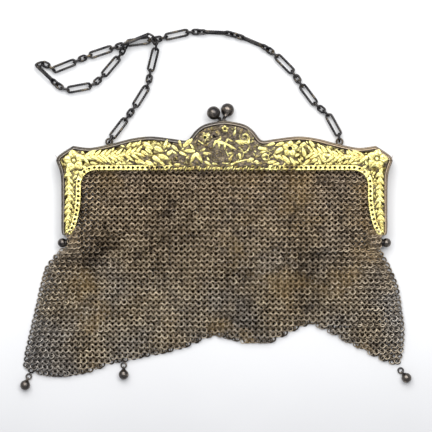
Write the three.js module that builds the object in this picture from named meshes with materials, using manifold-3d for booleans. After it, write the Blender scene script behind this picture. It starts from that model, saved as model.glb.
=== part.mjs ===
// A metal mesh purse lying on its back: two hinged frame halves, a ring mesh bag, a link chain,
// two clasp balls and three ball drops. Millimetres, +Z up, top of the purse towards +Y.
// The origin is on the flat underside of the back plate, in the middle of the frame's band.
import * as THREE from 'three';
import { mergeVertices } from 'three/addons/utils/BufferGeometryUtils.js';
import Module from 'manifold-3d';

const wasm = await Module();
wasm.setup();

// Frame sizes
const frameWidth = 164.6;       // tip to tip
const bandHeight = 16.4;        // shoulder above the straight inner edge
const domeHeight = 24.1;        // middle dome above the straight inner edge
const edgeDrop = 11.8;          // origin to the straight inner edge
const legLength = 31.7;         // straight inner edge to the leg's end
const legWidth = 9.3;           // leg at its middle
const tipProud = 2.7;           // corner tip past the leg's outer side
const cornerRadius = 7.3;       // inner corner between band and leg
const frameDepth = 10.0;        // both halves together
const plateThickness = 0.9;
const rimWall = 1.0;            // outer wall of each half
const rimWidth = 1.4;           // raised rim round the front plate
const rimHeight = 0.4;          // raised rim above the front plate
const partingGap = 0.3;         // between the two closed halves
const clearance = 0.3;          // between neighbouring pieces

// Sewing holes and relief
const sewingPitch = 7.05;       // every third of the real holes is cut
const sewingHole = 1.15;
const sewingInset = 1.15;       // inner edge to the holes' middles
const leafLength = 5.4;
const leafWidth = 2.6;
const leafPitch = 6.4;
const reliefHeight = 0.5;
const rosetteSize = 6.4;
const piercingSize = 1.5;

// Hinges
const hingeDrop = 3.9;          // leg's end to the hinge axis
const knuckleSize = 4.4;
const knuckleLength = 1.5;
const pinSize = 1.6;
const pinHeadSize = 4.5;
const hingeInset = 6.0;         // leg's outer side to the first knuckle

// Clasp
const claspBall = 6.6;
const claspWire = 1.6;
const claspHeadSize = 2.8;
const claspRise = 5.4;          // dome's top to the front ball's middle

// Mesh bag
const bagLength = 103.9;        // mouth to the lowest hem
const bagHalfWidth = 99.2;      // centre line to the widest corner
const mouthTuck = 2.0;          // bag reaches under the plates by this
const meshWall = 1.2;

// Ball drops
const dropBall = 4.9;
const dropRing = 3.3;
const dropWire = 0.8;
const dropNeck = 1.3;

// Chain
const chainWire = 0.95;
const smallLink = 4.85;
const linkWidth = 3.3;
const longLinkWidth = 3.8;
const longLinks = 16;
const smallBetween = 3;
const linkBite = 0.28;           // soldered overlap where the chain bends
const weldBend = 16;            // degrees up to which links are welded face to face
const weldGap = 0.08;           // room left between welded facets
const edgeLean = 75;            // degrees that a link on its edge is turned
const lugSize = 3.9;
const lugWire = 0.9;
const lugAcross = 56.5;
const lugLevel = 2.5;

// Fineness of round pieces
const ringSides = 10;
const wireSides = 5;
const ballSides = 8;

const halfWidth = frameWidth / 2;
const legOuter = halfWidth - tipProud;
const legInner = legOuter - legWidth;
const parting = frameDepth / 2;
const legEnd = -edgeDrop - legLength;
const hingeY = legEnd - hingeDrop;
const firstKnuckle = legOuter - hingeInset;
const facePlane = frameDepth - rimHeight;

// Outer outline of the frame from the middle of the dome to the corner tip. across is a share of
// half the frame's width, up a share of the band's height, or of the dome's rise above the band
// where part is dome. A row with corner 1 is a sharp corner.
const outline = [
  { across: 0.000, up: 1.00, part: 'dome', corner: 1 },
  { across: 0.070, up: 0.91, part: 'dome', corner: 0 },
  { across: 0.129, up: 0.76, part: 'dome', corner: 0 },
  { across: 0.173, up: 0.46, part: 'dome', corner: 0 },
  { across: 0.215, up: 0.01, part: 'dome', corner: 0 },
  { across: 0.248, up: 0.88, part: 'band', corner: 1 },
  { across: 0.310, up: 0.93, part: 'band', corner: 0 },
  { across: 0.437, up: 1.00, part: 'band', corner: 0 },
  { across: 0.547, up: 0.94, part: 'band', corner: 0 },
  { across: 0.656, up: 0.80, part: 'band', corner: 0 },
  { across: 0.735, up: 0.71, part: 'band', corner: 0 },
  { across: 0.808, up: 0.66, part: 'band', corner: 0 },
  { across: 0.899, up: 0.72, part: 'band', corner: 1 },
  { across: 0.982, up: 0.44, part: 'band', corner: 0 },
  { across: 1.000, up: 0.27, part: 'band', corner: 1 },
];

// The leg below the corner tip, down its outer side and up its inner side. out is a share of the
// leg's width outwards from its inner side, down a share of the leg's length.
const legOutline = [
  { out: 1.09, down: 0.02 },
  { out: 1.02, down: 0.19 },
  { out: 1.00, down: 0.60 },
  { out: 0.99, down: 0.92 },
  { out: 0.92, down: 1.00 },
  { out: 0.56, down: 1.00 },
  { out: 0.36, down: 0.92 },
  { out: 0.19, down: 0.78 },
  { out: 0.06, down: 0.60 },
  { out: 0.00, down: 0.42 },
];

// The bag in rows from its mouth to its hem. Beside the legs, down is a share of the way to below
// the hinges, and left and right are shares of the way from the legs' inner side to the first
// knuckle. In the skirt, down is a share of the rest, and left and right are shares of the way
// from the first knuckle to the widest corner. floor is a share of the seat above the back plate,
// depth and edge are shares of the room between the plates.
const drape = [
  { part: 'legs', down: 0.000, left: -0.26, right: -0.26, floor: 1.0, depth: 1.00, edge: 1.00 },
  { part: 'legs', down: 0.240, left: 0.40, right: 0.40, floor: 1.0, depth: 1.00, edge: 1.00 },
  { part: 'legs', down: 0.835, left: 0.76, right: 0.76, floor: 1.0, depth: 1.02, edge: 0.90 },
  { part: 'legs', down: 1.000, left: 0.79, right: 0.79, floor: 0.6, depth: 1.04, edge: 0.40 },
  { part: 'skirt', down: 0.058, left: 0.341, right: 0.155, floor: 0.3, depth: 1.04, edge: 0.24 },
  { part: 'skirt', down: 0.157, left: 0.554, right: 0.291, floor: 0.0, depth: 1.02, edge: 0.22 },
  { part: 'skirt', down: 0.339, left: 0.663, right: 0.465, floor: 0.0, depth: 0.96, edge: 0.22 },
  { part: 'skirt', down: 0.669, left: 0.837, right: 0.578, floor: 0.0, depth: 0.82, edge: 0.22 },
  { part: 'skirt', down: 0.868, left: 0.942, right: 0.554, floor: 0.0, depth: 0.72, edge: 0.22 },
  { part: 'skirt', down: 1.000, left: 1.000, right: 0.465, floor: 0.0, depth: 0.62, edge: 0.22 },
];

// The hem from the left corner to the right one. across is a share of the bag's half width, drop
// a share of its length.
const hem = [
  { across: -1.000, drop: 0.958 },
  { across: -0.963, drop: 0.976 },
  { across: -0.887, drop: 0.993 },
  { across: -0.800, drop: 1.000 },
  { across: -0.665, drop: 0.974 },
  { across: -0.575, drop: 0.938 },
  { across: -0.457, drop: 0.914 },
  { across: -0.210, drop: 0.858 },
  { across: -0.060, drop: 0.797 },
  { across: 0.095, drop: 0.839 },
  { across: 0.215, drop: 0.837 },
  { across: 0.323, drop: 0.786 },
  { across: 0.413, drop: 0.745 },
  { across: 0.650, drop: 0.854 },
  { across: 0.775, drop: 0.917 },
  { across: 0.862, drop: 0.950 },
];

// Folds of the front wall. along is the place across the bag from 0 at its left side to 1,
// lean how far it moves along by the hem, from and to where it starts and ends down the bag,
// width its share of the bag and sink its depth as a share of the room between the plates.
const folds = [
  { along: 0.27, lean: 0.02, from: 0.05, to: 0.60, width: 0.05, sink: 0.20 },
  { along: 0.38, lean: -0.03, from: 0.00, to: 0.75, width: 0.05, sink: 0.14 },
  { along: 0.72, lean: 0.02, from: 0.35, to: 1.05, width: 0.06, sink: 0.26 },
  { along: 0.07, lean: 0.06, from: 0.25, to: 0.55, width: 0.05, sink: 0.30 },
  { along: 0.55, lean: 0.00, from: 0.45, to: 1.05, width: 0.06, sink: 0.16 },
];

// The drops: along the hem, and which way each lies, in degrees from +X.
const drops = [
  { name: 'ball_drop_left', along: 0.020, ring: -105, ball: -112 },
  { name: 'ball_drop_middle', along: 0.270, ring: -92, ball: -90 },
  { name: 'ball_drop_right', along: 1.000, ring: -57, ball: -52 },
];

// The chain's route between its two lugs, chosen by hand. level is its height on the surface, or
// higher where it crosses itself.
const level = 2.0;
const crossing = 5.9;
const route = [
  [-53.5, 7.0, level], [-46.7, 15.4, level], [-43.3, 20.6, level], [-37.6, 30.0, level],
  [-36.2, 37.5, level], [-34.4, 45.5, level], [-33.2, 50.0, 5.2], [-35.2, 53.0, crossing],
  [-38.6, 54.6, crossing], [-43.2, 52.2, crossing], [-47.6, 50.6, crossing],
  [-50.0, 46.2, 4.4], [-53.5, 41.5, level], [-60.1, 34.0, level], [-64.2, 30.4, level],
  [-71.5, 28.0, level], [-78.0, 27.8, level], [-82.2, 30.2, level], [-87.2, 35.0, level],
  [-91.8, 38.8, level], [-92.2, 40.4, level], [-88.4, 40.6, level], [-84.6, 38.2, level],
  [-78.6, 34.2, level], [-76.2, 35.6, level], [-77.2, 38.8, level], [-73.0, 41.6, level],
  [-66.0, 44.4, level], [-59.8, 46.8, level], [-53.0, 48.6, level], [-45.8, 51.0, level],
  [-38.4, 51.8, level], [-31.8, 52.6, level], [-24.2, 55.0, level], [-16.6, 56.0, level],
  [-8.6, 56.0, level], [0.6, 55.6, level], [9.0, 53.2, level], [17.6, 49.8, level],
  [25.2, 44.6, level], [33.4, 36.4, level], [39.0, 28.2, level], [45.2, 20.2, level],
  [50.6, 15.6, level], [55.6, 8.8, level],
];
// Long links that lie on their edge, counted from the left lug
const onEdge = [4, 7, 12, 13];

// Turns a closed geometry into a solid that can be joined and cut.
function solid(geometry) {
  const plain = geometry.clone();
  plain.deleteAttribute('normal');
  plain.deleteAttribute('uv');
  const merged = mergeVertices(plain, 1e-4);
  return new wasm.Manifold(new wasm.Mesh({
    numProp: 3,
    vertProperties: new Float32Array(merged.attributes.position.array),
    triVerts: new Uint32Array(merged.index.array),
  }));
}

function joined(solids) {
  return solids.reduce((whole, piece) => whole.add(piece));
}

function addMesh(group, name, body, material) {
  const { vertProperties, triVerts, numProp } = body.getMesh();
  const geometry = new THREE.BufferGeometry();
  const positions = new Float32Array((vertProperties.length / numProp) * 3);
  for (let i = 0; i < positions.length / 3; i += 1) {
    positions.set(vertProperties.slice(i * numProp, i * numProp + 3), i * 3);
  }
  geometry.setAttribute('position', new THREE.BufferAttribute(positions, 3));
  geometry.setIndex(Array.from(triVerts));
  geometry.computeVertexNormals();
  const mesh = new THREE.Mesh(geometry, material);
  mesh.name = name;
  group.add(mesh);
}

function prism(points, from, to) {
  const geometry = new THREE.ExtrudeGeometry(new THREE.Shape(points), {
    depth: to - from, bevelEnabled: false, steps: 1,
  });
  return solid(geometry.translate(0, 0, from));
}

function box(min, max) {
  const geometry = new THREE.BoxGeometry(max.x - min.x, max.y - min.y, max.z - min.z);
  const middle = new THREE.Vector3().addVectors(min, max).multiplyScalar(0.5);
  return solid(geometry.translate(middle.x, middle.y, middle.z));
}

// A cylinder lying along X.
function barrel(from, to, radius, y, z, sides) {
  const geometry = new THREE.CylinderGeometry(radius, radius, to - from, sides);
  return solid(geometry.rotateZ(Math.PI / 2).translate((from + to) / 2, y, z));
}

function ball(size, place) {
  const geometry = new THREE.SphereGeometry(size / 2, ballSides, Math.round(ballSides * 0.6));
  return solid(geometry.rotateX(Math.PI / 2).translate(place.x, place.y, place.z));
}

function wire(points, size, steps) {
  const section = new THREE.Shape(polygon(size / 2, wireSides));
  const geometry = new THREE.ExtrudeGeometry(section, {
    extrudePath: new THREE.CatmullRomCurve3(points, false, 'centripetal'), steps,
  });
  return solid(geometry);
}

function polygon(radius, sides, x = 0, y = 0) {
  return Array.from({ length: sides }, (_, i) => {
    const turn = (2 * Math.PI * (i + 0.5)) / sides;
    return new THREE.Vector2(x + radius * Math.cos(turn), y + radius * Math.sin(turn));
  });
}

// A round-ended link in the XY plane with its long axis on X, as rings of points round its wire.
// Its two ends each have a flat inner facet, between rings 1 and 2 and between rings 6 and 7.
const endTurns = [-67.5, -22.5, 22.5, 67.5];
const ringCount = 2 * endTurns.length + 2;
const facets = { front: [1, 2], back: [6, 7] };

function linkPoints(length, width) {
  const radius = (width - chainWire) / 2;
  const shift = (length - width) / 2;
  const rings = [
    ...endTurns.map((turn) => ({ turn, x: shift })), { turn: 90, x: 0 },
    ...endTurns.map((turn) => ({ turn: turn + 180, x: -shift })), { turn: 270, x: 0 },
  ];
  return rings.flatMap(({ turn, x }) => {
    const radial = new THREE.Vector2(Math.cos(THREE.MathUtils.degToRad(turn)),
      Math.sin(THREE.MathUtils.degToRad(turn)));
    return Array.from({ length: wireSides }, (_, j) => {
      const round = (2 * Math.PI * j) / wireSides;
      const reach = radius + (chainWire / 2) * Math.cos(round);
      return new THREE.Vector3(
        x + reach * radial.x, reach * radial.y, (chainWire / 2) * Math.sin(round),
      );
    });
  });
}

// Right half of the outer outline from the top of the dome to the corner tip.
function outerRun() {
  const points = outline.map(({ across, up, part }) => new THREE.Vector2(
    across * halfWidth,
    -edgeDrop + (part === 'dome' ? bandHeight * 0.9 + up * (domeHeight - bandHeight * 0.9)
      : up * bandHeight),
  ));
  const corners = outline.flatMap(({ corner }, i) => (corner ? [i] : []));
  const run = [];
  corners.slice(1).forEach((last, k) => {
    const spline = new THREE.SplineCurve(points.slice(corners[k], last + 1));
    run.push(...spline.getPoints(last - corners[k]).slice(0, -1));
  });
  run.push(points[points.length - 1]);
  return run;
}

function legRun() {
  const points = legOutline.map(({ out, down }) => new THREE.Vector2(
    legInner + out * legWidth, -edgeDrop - down * legLength,
  ));
  return { outer: points.slice(0, 5), inner: points.slice(5) };
}

// Inner corner between the leg and the straight edge, without its ends.
function innerCorner() {
  const steps = 5;
  return Array.from({ length: steps + 1 }, (_, i) => {
    const turn = (i / steps) * (Math.PI / 2);
    return new THREE.Vector2(
      legInner - cornerRadius * (1 - Math.cos(turn)),
      -edgeDrop - cornerRadius * (1 - Math.sin(turn)),
    );
  });
}

function mirrored(points) {
  return points.map((p) => new THREE.Vector2(-p.x, p.y)).reverse();
}

const outerHalf = [...outerRun(), ...legRun().outer];
const innerHalf = [...legRun().inner, ...innerCorner()];
const frameOutline = [...outerHalf, ...innerHalf, ...mirrored(innerHalf), ...mirrored(outerHalf.slice(1))];

// The outer outline moved inwards by a distance.
function inset(points, distance) {
  return points.map((p, i) => {
    const before = points[Math.max(i - 1, 0)];
    const after = points[Math.min(i + 1, points.length - 1)];
    const along = new THREE.Vector2().subVectors(after, before).normalize();
    if (i === 0) along.set(1, 0);
    return new THREE.Vector2(p.x + along.y * distance, p.y - along.x * distance);
  });
}

// Room inside the outer wall, which runs out past the inner edge and the legs' ends.
function insideOutline(distance) {
  const half = inset(outerHalf, distance);
  const below = legEnd - legWidth;
  half.push(new THREE.Vector2(half[half.length - 1].x, below));
  return [...half, ...mirrored(half.slice(1))];
}

// Points along the inner edge from the left leg to the right one, a pitch apart, moved outwards.
function alongInnerEdge(pitch, outwards) {
  const edge = [...innerHalf, ...mirrored(innerHalf)].map((p) => new THREE.Vector3(p.x, p.y, 0));
  const path = new THREE.CurvePath();
  edge.slice(1).forEach((p, i) => path.add(new THREE.LineCurve3(edge[i], p)));
  const count = Math.floor(path.getLength() / pitch);
  return Array.from({ length: count - 1 }, (_, i) => {
    const share = (i + 1) / count;
    const along = path.getTangentAt(share);
    const place = path.getPointAt(share);
    return new THREE.Vector2(place.x + along.y * outwards, place.y - along.x * outwards);
  });
}

// A raised leaf: a low four-sided pyramid with its foot sunk in the plate.
function leaf(x, y, degrees, length, width) {
  const height = reliefHeight + rimHeight;
  const geometry = new THREE.ConeGeometry(1, height, 4).rotateX(Math.PI / 2);
  geometry.scale(length / 2, width / 2, 1).translate(length / 2, 0, height / 2);
  geometry.rotateZ(THREE.MathUtils.degToRad(degrees)).translate(x, y, facePlane - rimHeight);
  return solid(geometry);
}

function rosette(x, y, size) {
  const petals = 5;
  const points = Array.from({ length: petals * 2 }, (_, i) => {
    const turn = (Math.PI * i) / petals;
    const radius = (size / 2) * (i % 2 ? 0.55 : 1);
    return new THREE.Vector2(x + radius * Math.cos(turn), y + radius * Math.sin(turn));
  });
  return prism(points, facePlane - rimHeight, facePlane + reliefHeight * 0.8);
}

// Leaves in pairs along a stem.
function garland(points, count) {
  const stem = new THREE.SplineCurve(points.map(([x, y]) => new THREE.Vector2(x, y)));
  return Array.from({ length: count }, (_, i) => {
    const share = (i + 0.5) / count;
    const place = stem.getPointAt(share);
    const heading = THREE.MathUtils.radToDeg(stem.getTangentAt(share).angle());
    return [-38, 38].map((lean) => leaf(place.x, place.y, heading + lean, leafLength, leafWidth));
  }).flat();
}

function relief() {
  const bandMiddle = -edgeDrop + bandHeight * 0.42;
  const legMiddle = legInner + legWidth * 0.56;
  const cornerX = legMiddle - 1;
  const solids = [];
  [-1, 1].forEach((side) => {
    const leg = [
      [side * legMiddle, legEnd + 4], [side * legMiddle, -edgeDrop - legLength * 0.4],
      [side * cornerX, bandMiddle - bandHeight * 0.37],
    ];
    const band = [
      [side * (cornerX - 5), bandMiddle - 1.5], [side * halfWidth * 0.6, bandMiddle],
      [side * halfWidth * 0.33, bandMiddle + 1],
    ];
    solids.push(...garland(leg, Math.round((legLength * 0.81) / leafPitch)));
    solids.push(...garland(band, Math.round((halfWidth * 0.5) / leafPitch)));
    solids.push(rosette(side * cornerX, bandMiddle - 0.5, rosetteSize));
    solids.push(rosette(side * halfWidth * 0.27, bandMiddle, rosetteSize * 0.85));
  });
  const domeMiddle = -edgeDrop + domeHeight * 0.55;
  [-30, 25, 80, 135, 190].forEach((turn) => {
    solids.push(leaf(0, domeMiddle, turn, leafLength * 1.2, leafWidth * 1.2));
  });
  return solids;
}

// Dark pierced openings between the leaves and the rim.
function piercings() {
  const cuts = [];
  inset(outerHalf, rimWidth + piercingSize).forEach((p, i, run) => {
    const next = run[i + 1];
    const inBand = p.x > halfWidth * 0.3 && p.x < halfWidth * 0.86 && p.y > -edgeDrop / 2;
    if (next && inBand) {
      const shape = [[0, 0], [piercingSize * 1.6, 0], [piercingSize * 0.8, -piercingSize]];
      [-1, 1].forEach((side) => {
        const points = shape.map(([x, y]) => new THREE.Vector2(side * (p.x + x), p.y + y));
        cuts.push(prism(side < 0 ? points.reverse() : points, parting, frameDepth + 1));
      });
    }
  });
  return cuts;
}

// Leg end carrying a hinge knuckle, on one side of the parting plane.
function knuckle(side, order, isFront) {
  const near = side * (firstKnuckle + order * (knuckleLength + clearance));
  const far = near + side * knuckleLength;
  const [from, to] = [Math.min(near, far), Math.max(near, far)];
  const radius = knuckleSize / 2;
  const low = isFront ? parting + partingGap / 2 : 0;
  const high = isFront ? frameDepth - rimHeight : parting - partingGap / 2;
  const tongue = box(
    new THREE.Vector3(from, hingeY, low),
    new THREE.Vector3(to, legEnd + hingeDrop * 0.8, high),
  );
  return tongue.add(barrel(from, to, radius, hingeY, parting, ringSides));
}

function pinHole(side) {
  const span = [side * (firstKnuckle - 1), side * (legOuter + 1)].sort((a, b) => a - b);
  return barrel(span[0], span[1], pinSize / 2 + clearance, hingeY, parting, 8);
}

function claspHole(clasp) {
  const geometry = new THREE.CylinderGeometry(
    claspWire / 2 + clearance, claspWire / 2 + clearance, rimWall * 4, 8,
  );
  return solid(geometry.translate(clasp.footX, domeTop, clasp.footZ));
}

const domeTop = domeHeight - edgeDrop;
const clasps = [
  {
    name: 'clasp_ball_front', footX: -0.2, footZ: parting * 1.39, isFront: true,
    ball: new THREE.Vector3(1.5, domeTop + claspRise, claspBall / 2 + 0.2),
    lift: claspBall * 0.42,
  },
  {
    name: 'clasp_ball_back', footX: -2.2, footZ: parting * 0.6, isFront: false,
    ball: new THREE.Vector3(-5.3, domeTop + claspRise * 0.72, frameDepth - claspBall / 2 - 0.2),
    lift: -claspBall * 0.2,
  },
];

function claspSolid(clasp) {
  const inside = outerHeightAt(Math.abs(clasp.footX) + claspHeadSize / 2) - rimWall - clearance;
  const foot = new THREE.Vector3(clasp.footX, inside - 0.6, clasp.footZ);
  const neck = new THREE.Vector3(clasp.footX, domeTop + 1.0, clasp.footZ);
  const arrive = clasp.ball.clone();
  arrive.z += clasp.lift;
  arrive.y -= claspBall * 0.2;
  const middle = neck.clone().lerp(arrive, 0.5);
  middle.z += clasp.isFront ? 0.7 : 0;
  const head = new THREE.CylinderGeometry(claspHeadSize / 2, claspHeadSize / 2, 0.6, 6);
  return joined([
    ball(claspBall, clasp.ball),
    wire([foot, neck, middle, arrive], claspWire, 4),
    solid(head.translate(clasp.footX, inside - 0.3, clasp.footZ)),
  ]);
}

function lug(side) {
  const wallY = outerHeightAt(lugAcross);
  const geometry = new THREE.TorusGeometry((lugSize - lugWire) / 2, lugWire / 2, wireSides, ringSides);
  return solid(geometry.translate(side * lugAcross, wallY + lugSize / 2 - lugWire * 0.6, lugLevel));
}

function outerHeightAt(x) {
  const after = outerHalf.findIndex((p) => p.x >= x);
  const [a, b] = [outerHalf[after - 1], outerHalf[after]];
  return a.y + ((x - a.x) / (b.x - a.x)) * (b.y - a.y);
}

function frameFront() {
  const low = parting + partingGap / 2;
  let half = prism(frameOutline, low, frameDepth);
  half = half.subtract(prism(insideOutline(rimWall), low - 1, facePlane - plateThickness));
  half = half.subtract(prism(insideOutline(rimWidth), facePlane, frameDepth + 1));
  half = joined([half, ...relief()]);
  const face = prism(frameOutline, low, frameDepth + reliefHeight);
  half = half.intersect(face);
  [-1, 1].forEach((side) => {
    half = half.add(knuckle(side, 1, true)).subtract(pinHole(side));
  });
  const holes = alongInnerEdge(sewingPitch, sewingInset).map((p) => (
    prism(polygon(sewingHole / 2, 4, p.x, p.y), low, frameDepth + 1)
  ));
  return half.subtract(joined([...holes, ...piercings(), claspHole(clasps[0])]));
}

function frameBack() {
  const high = parting - partingGap / 2;
  let half = prism(frameOutline, 0, high);
  half = half.subtract(prism(insideOutline(rimWall), plateThickness, high + 1));
  [-1, 1].forEach((side) => {
    half = joined([half, knuckle(side, 0, false), lug(side)]).subtract(pinHole(side));
  });
  return half.subtract(claspHole(clasps[1]));
}

function hingePin(side) {
  const near = side * (firstKnuckle + 0.1);
  const headX = side * (firstKnuckle + 2 * (knuckleLength + clearance) + pinHeadSize / 2);
  const span = [near, headX].sort((a, b) => a - b);
  const shaft = barrel(span[0], span[1], pinSize / 2, hingeY, parting, 8);
  return shaft.add(ball(pinHeadSize, new THREE.Vector3(headX, hingeY, parting)));
}

const mouthY = -edgeDrop + mouthTuck;
const seat = plateThickness + clearance;
const room = facePlane - plateThickness - clearance - seat;

// The drape's rows with down as a share of the whole bag and left and right in millimetres.
const belowHinges = (mouthY - hingeY + pinHeadSize / 2) / (bagLength * hem[0].drop);
const drapeRows = drape.map(({ part, down, left, right, floor, depth, edge }) => {
  const [from, to] = part === 'legs' ? [legInner, firstKnuckle] : [firstKnuckle, bagHalfWidth];
  return {
    down: part === 'legs' ? down * belowHinges : belowHinges + down * (1 - belowHinges),
    left: from + left * (to - from),
    right: from + right * (to - from),
    floor, depth, edge,
  };
});

function drapeAt(down) {
  const after = Math.max(1, drapeRows.findIndex((row) => row.down >= down - 1e-9));
  const [a, b] = [drapeRows[after - 1], drapeRows[after]];
  const share = (down - a.down) / (b.down - a.down);
  return Object.fromEntries(Object.keys(a).map((key) => [key, a[key] + share * (b[key] - a[key])]));
}

function hemAt(along) {
  const reach = hem[hem.length - 1].across - hem[0].across;
  const across = hem[0].across + along * reach;
  const after = Math.max(1, hem.findIndex((row) => row.across >= across - 1e-9));
  const [a, b] = [hem[after - 1], hem[after]];
  return a.drop + ((across - a.across) / (b.across - a.across)) * (b.drop - a.drop);
}

// Front wall's sinking into its folds.
function foldSink(along, down) {
  return folds.reduce((sum, fold) => {
    const middle = fold.along + fold.lean * down;
    const beside = Math.exp(-(((along - middle) / fold.width) ** 2));
    const share = (down - fold.from) / (fold.to - fold.from);
    const within = share > 0 && share < 1 ? Math.sin(Math.PI * share) : 0;
    return sum + fold.sink * beside * within;
  }, 0) * room;
}

// A point of the bag: its place across and down, and the heights of its back and front walls.
function bagPoint(along, down) {
  const row = drapeAt(Math.min(Math.max(down, 0), 1));
  const x = -row.left + along * (row.left + row.right);
  const y = mouthY - down * hemAt(along) * bagLength;
  const sideways = Math.sqrt(Math.max(0, 1 - Math.abs(2 * along - 1) ** 8));
  const lengthways = Math.sqrt(Math.max(0, 1 - Math.max(down, 0) ** 14));
  const swell = sideways * lengthways;
  const floor = row.floor * seat;
  const thick = (row.edge + (row.depth - row.edge) * swell) * room;
  return { x, y, back: floor, front: floor + thick - foldSink(along, down) * swell };
}

// A closed solid between a lower and an upper sheet over the same grid.
function sheetSolid(columns, rows, place) {
  const corner = (i, j, top) => (j * columns.length + i) * 2 + (top ? 1 : 0);
  const positions = rows.flatMap((down) => columns.flatMap((along) => {
    const p = place(along, down);
    return [p.x, p.y, p.back, p.x, p.y, p.front];
  }));
  const index = [];
  const quad = (a, b, c, d) => index.push(a, b, c, a, c, d);
  const [nx, ny] = [columns.length - 1, rows.length - 1];
  for (let j = 0; j < ny; j += 1) {
    for (let i = 0; i < nx; i += 1) {
      quad(corner(i, j, 1), corner(i, j + 1, 1), corner(i + 1, j + 1, 1), corner(i + 1, j, 1));
      quad(corner(i, j, 0), corner(i + 1, j, 0), corner(i + 1, j + 1, 0), corner(i, j + 1, 0));
    }
    quad(corner(0, j, 0), corner(0, j + 1, 0), corner(0, j + 1, 1), corner(0, j, 1));
    quad(corner(nx, j, 0), corner(nx, j, 1), corner(nx, j + 1, 1), corner(nx, j + 1, 0));
  }
  for (let i = 0; i < nx; i += 1) {
    quad(corner(i, 0, 0), corner(i, 0, 1), corner(i + 1, 0, 1), corner(i + 1, 0, 0));
    quad(corner(i, ny, 0), corner(i + 1, ny, 0), corner(i + 1, ny, 1), corner(i, ny, 1));
  }
  const geometry = new THREE.BufferGeometry();
  geometry.setAttribute('position', new THREE.Float32BufferAttribute(positions, 3));
  geometry.setIndex(index);
  return solid(geometry);
}

function meshBag() {
  const reach = hem[hem.length - 1].across - hem[0].across;
  const columns = hem.map((row) => (row.across - hem[0].across) / reach);
  const rows = drapeRows.map((row) => row.down);
  const outer = sheetSolid(columns, rows, bagPoint);
  const innerRows = [-0.05, rows[2], rows[3], rows[4], rows[6], 0.95];
  const inner = sheetSolid(columns, innerRows, (along, down) => {
    const side = down < rows[2] ? meshWall / (2 * legInner) : 0.03;
    const p = bagPoint(side + along * (1 - 2 * side), down);
    const middle = (p.back + p.front) / 2;
    const least = meshWall / 4;
    return {
      x: p.x, y: p.y,
      back: Math.min(p.back + meshWall, middle - least),
      front: Math.max(p.front - meshWall, middle + least),
    };
  });
  return outer.subtract(inner);
}

function ballDrop(drop) {
  const hemPoint = bagPoint(drop.along, 1);
  const at = (degrees, distance, from) => new THREE.Vector3(
    from.x + distance * Math.cos(THREE.MathUtils.degToRad(degrees)),
    from.y + distance * Math.sin(THREE.MathUtils.degToRad(degrees)), 0,
  );
  const ringAt = at(drop.ring, dropRing / 2 + clearance, hemPoint);
  const ballAt = at(drop.ball, dropRing / 2 + dropNeck / 2 + dropBall / 2 - 0.2, ringAt);
  const ring = new THREE.TorusGeometry((dropRing - dropWire) / 2, dropWire / 2, wireSides, ringSides);
  const neckFrom = at(drop.ball, dropRing / 2 - dropWire / 2, ringAt);
  ringAt.z = dropWire;
  neckFrom.z = dropWire;
  ballAt.z = dropBall / 2 + 0.05;
  return joined([
    solid(ring.translate(ringAt.x, ringAt.y, ringAt.z)),
    wire([neckFrom, ballAt], dropNeck, 1),
    ball(dropBall, ballAt),
  ]);
}

// The route as a fine line from lug to lug.
function routeLine() {
  const end = (side) => new THREE.Vector3(
    side * lugAcross, outerHeightAt(lugAcross) + lugSize / 2 - lugWire * 0.6, lugLevel,
  );
  const points = [end(-1), ...route.map((p) => new THREE.Vector3(...p)), end(1)];
  return new THREE.CatmullRomCurve3(points, false, 'centripetal').getSpacedPoints(1500);
}

// Steps along the line by straight spans and returns the joints with the length left over.
function walk(line, spans) {
  const joints = [line[0]];
  let k = 0;
  for (const span of spans) {
    const from = joints[joints.length - 1];
    while (k < line.length - 1 && line[k].distanceTo(from) < span) k += 1;
    const along = new THREE.Vector3().subVectors(line[k], from).normalize();
    joints.push(from.clone().addScaledVector(along, span));
  }
  const last = joints[joints.length - 1];
  return { joints, left: k < line.length - 1 ? last.distanceTo(line[line.length - 1]) : -1 };
}

const linkKinds = ['small'];
for (let i = 0; i < longLinks; i += 1) {
  linkKinds.push('long', ...Array(i < longLinks - 1 ? smallBetween : 1).fill('small'));
}

// The straight run of each link between its neighbours. bites holds the overlap at each joint.
function linkSpans(longLink, bites) {
  return linkKinds.map((kind, i) => (
    (kind === 'long' ? longLink : smallLink) - 2 * chainWire + (bites[i] + bites[i + 1]) / 2
  ));
}

// The long link's length that brings the chain's end into the right lug.
function fittedLongLink(line, bites) {
  let [low, high] = [smallLink, smallLink * 5];
  for (let i = 0; i < 40; i += 1) {
    const middle = (low + high) / 2;
    if (walk(line, linkSpans(middle, bites)).left > chainWire / 2) low = middle;
    else high = middle;
  }
  return low;
}

// Bend between each link and the one before it, in degrees.
function bendsOf(joints) {
  const heading = joints.slice(1).map((p, i) => new THREE.Vector3().subVectors(p, joints[i]));
  return heading.map((way, i) => (i ? THREE.MathUtils.radToDeg(way.angleTo(heading[i - 1])) : 0));
}

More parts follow.
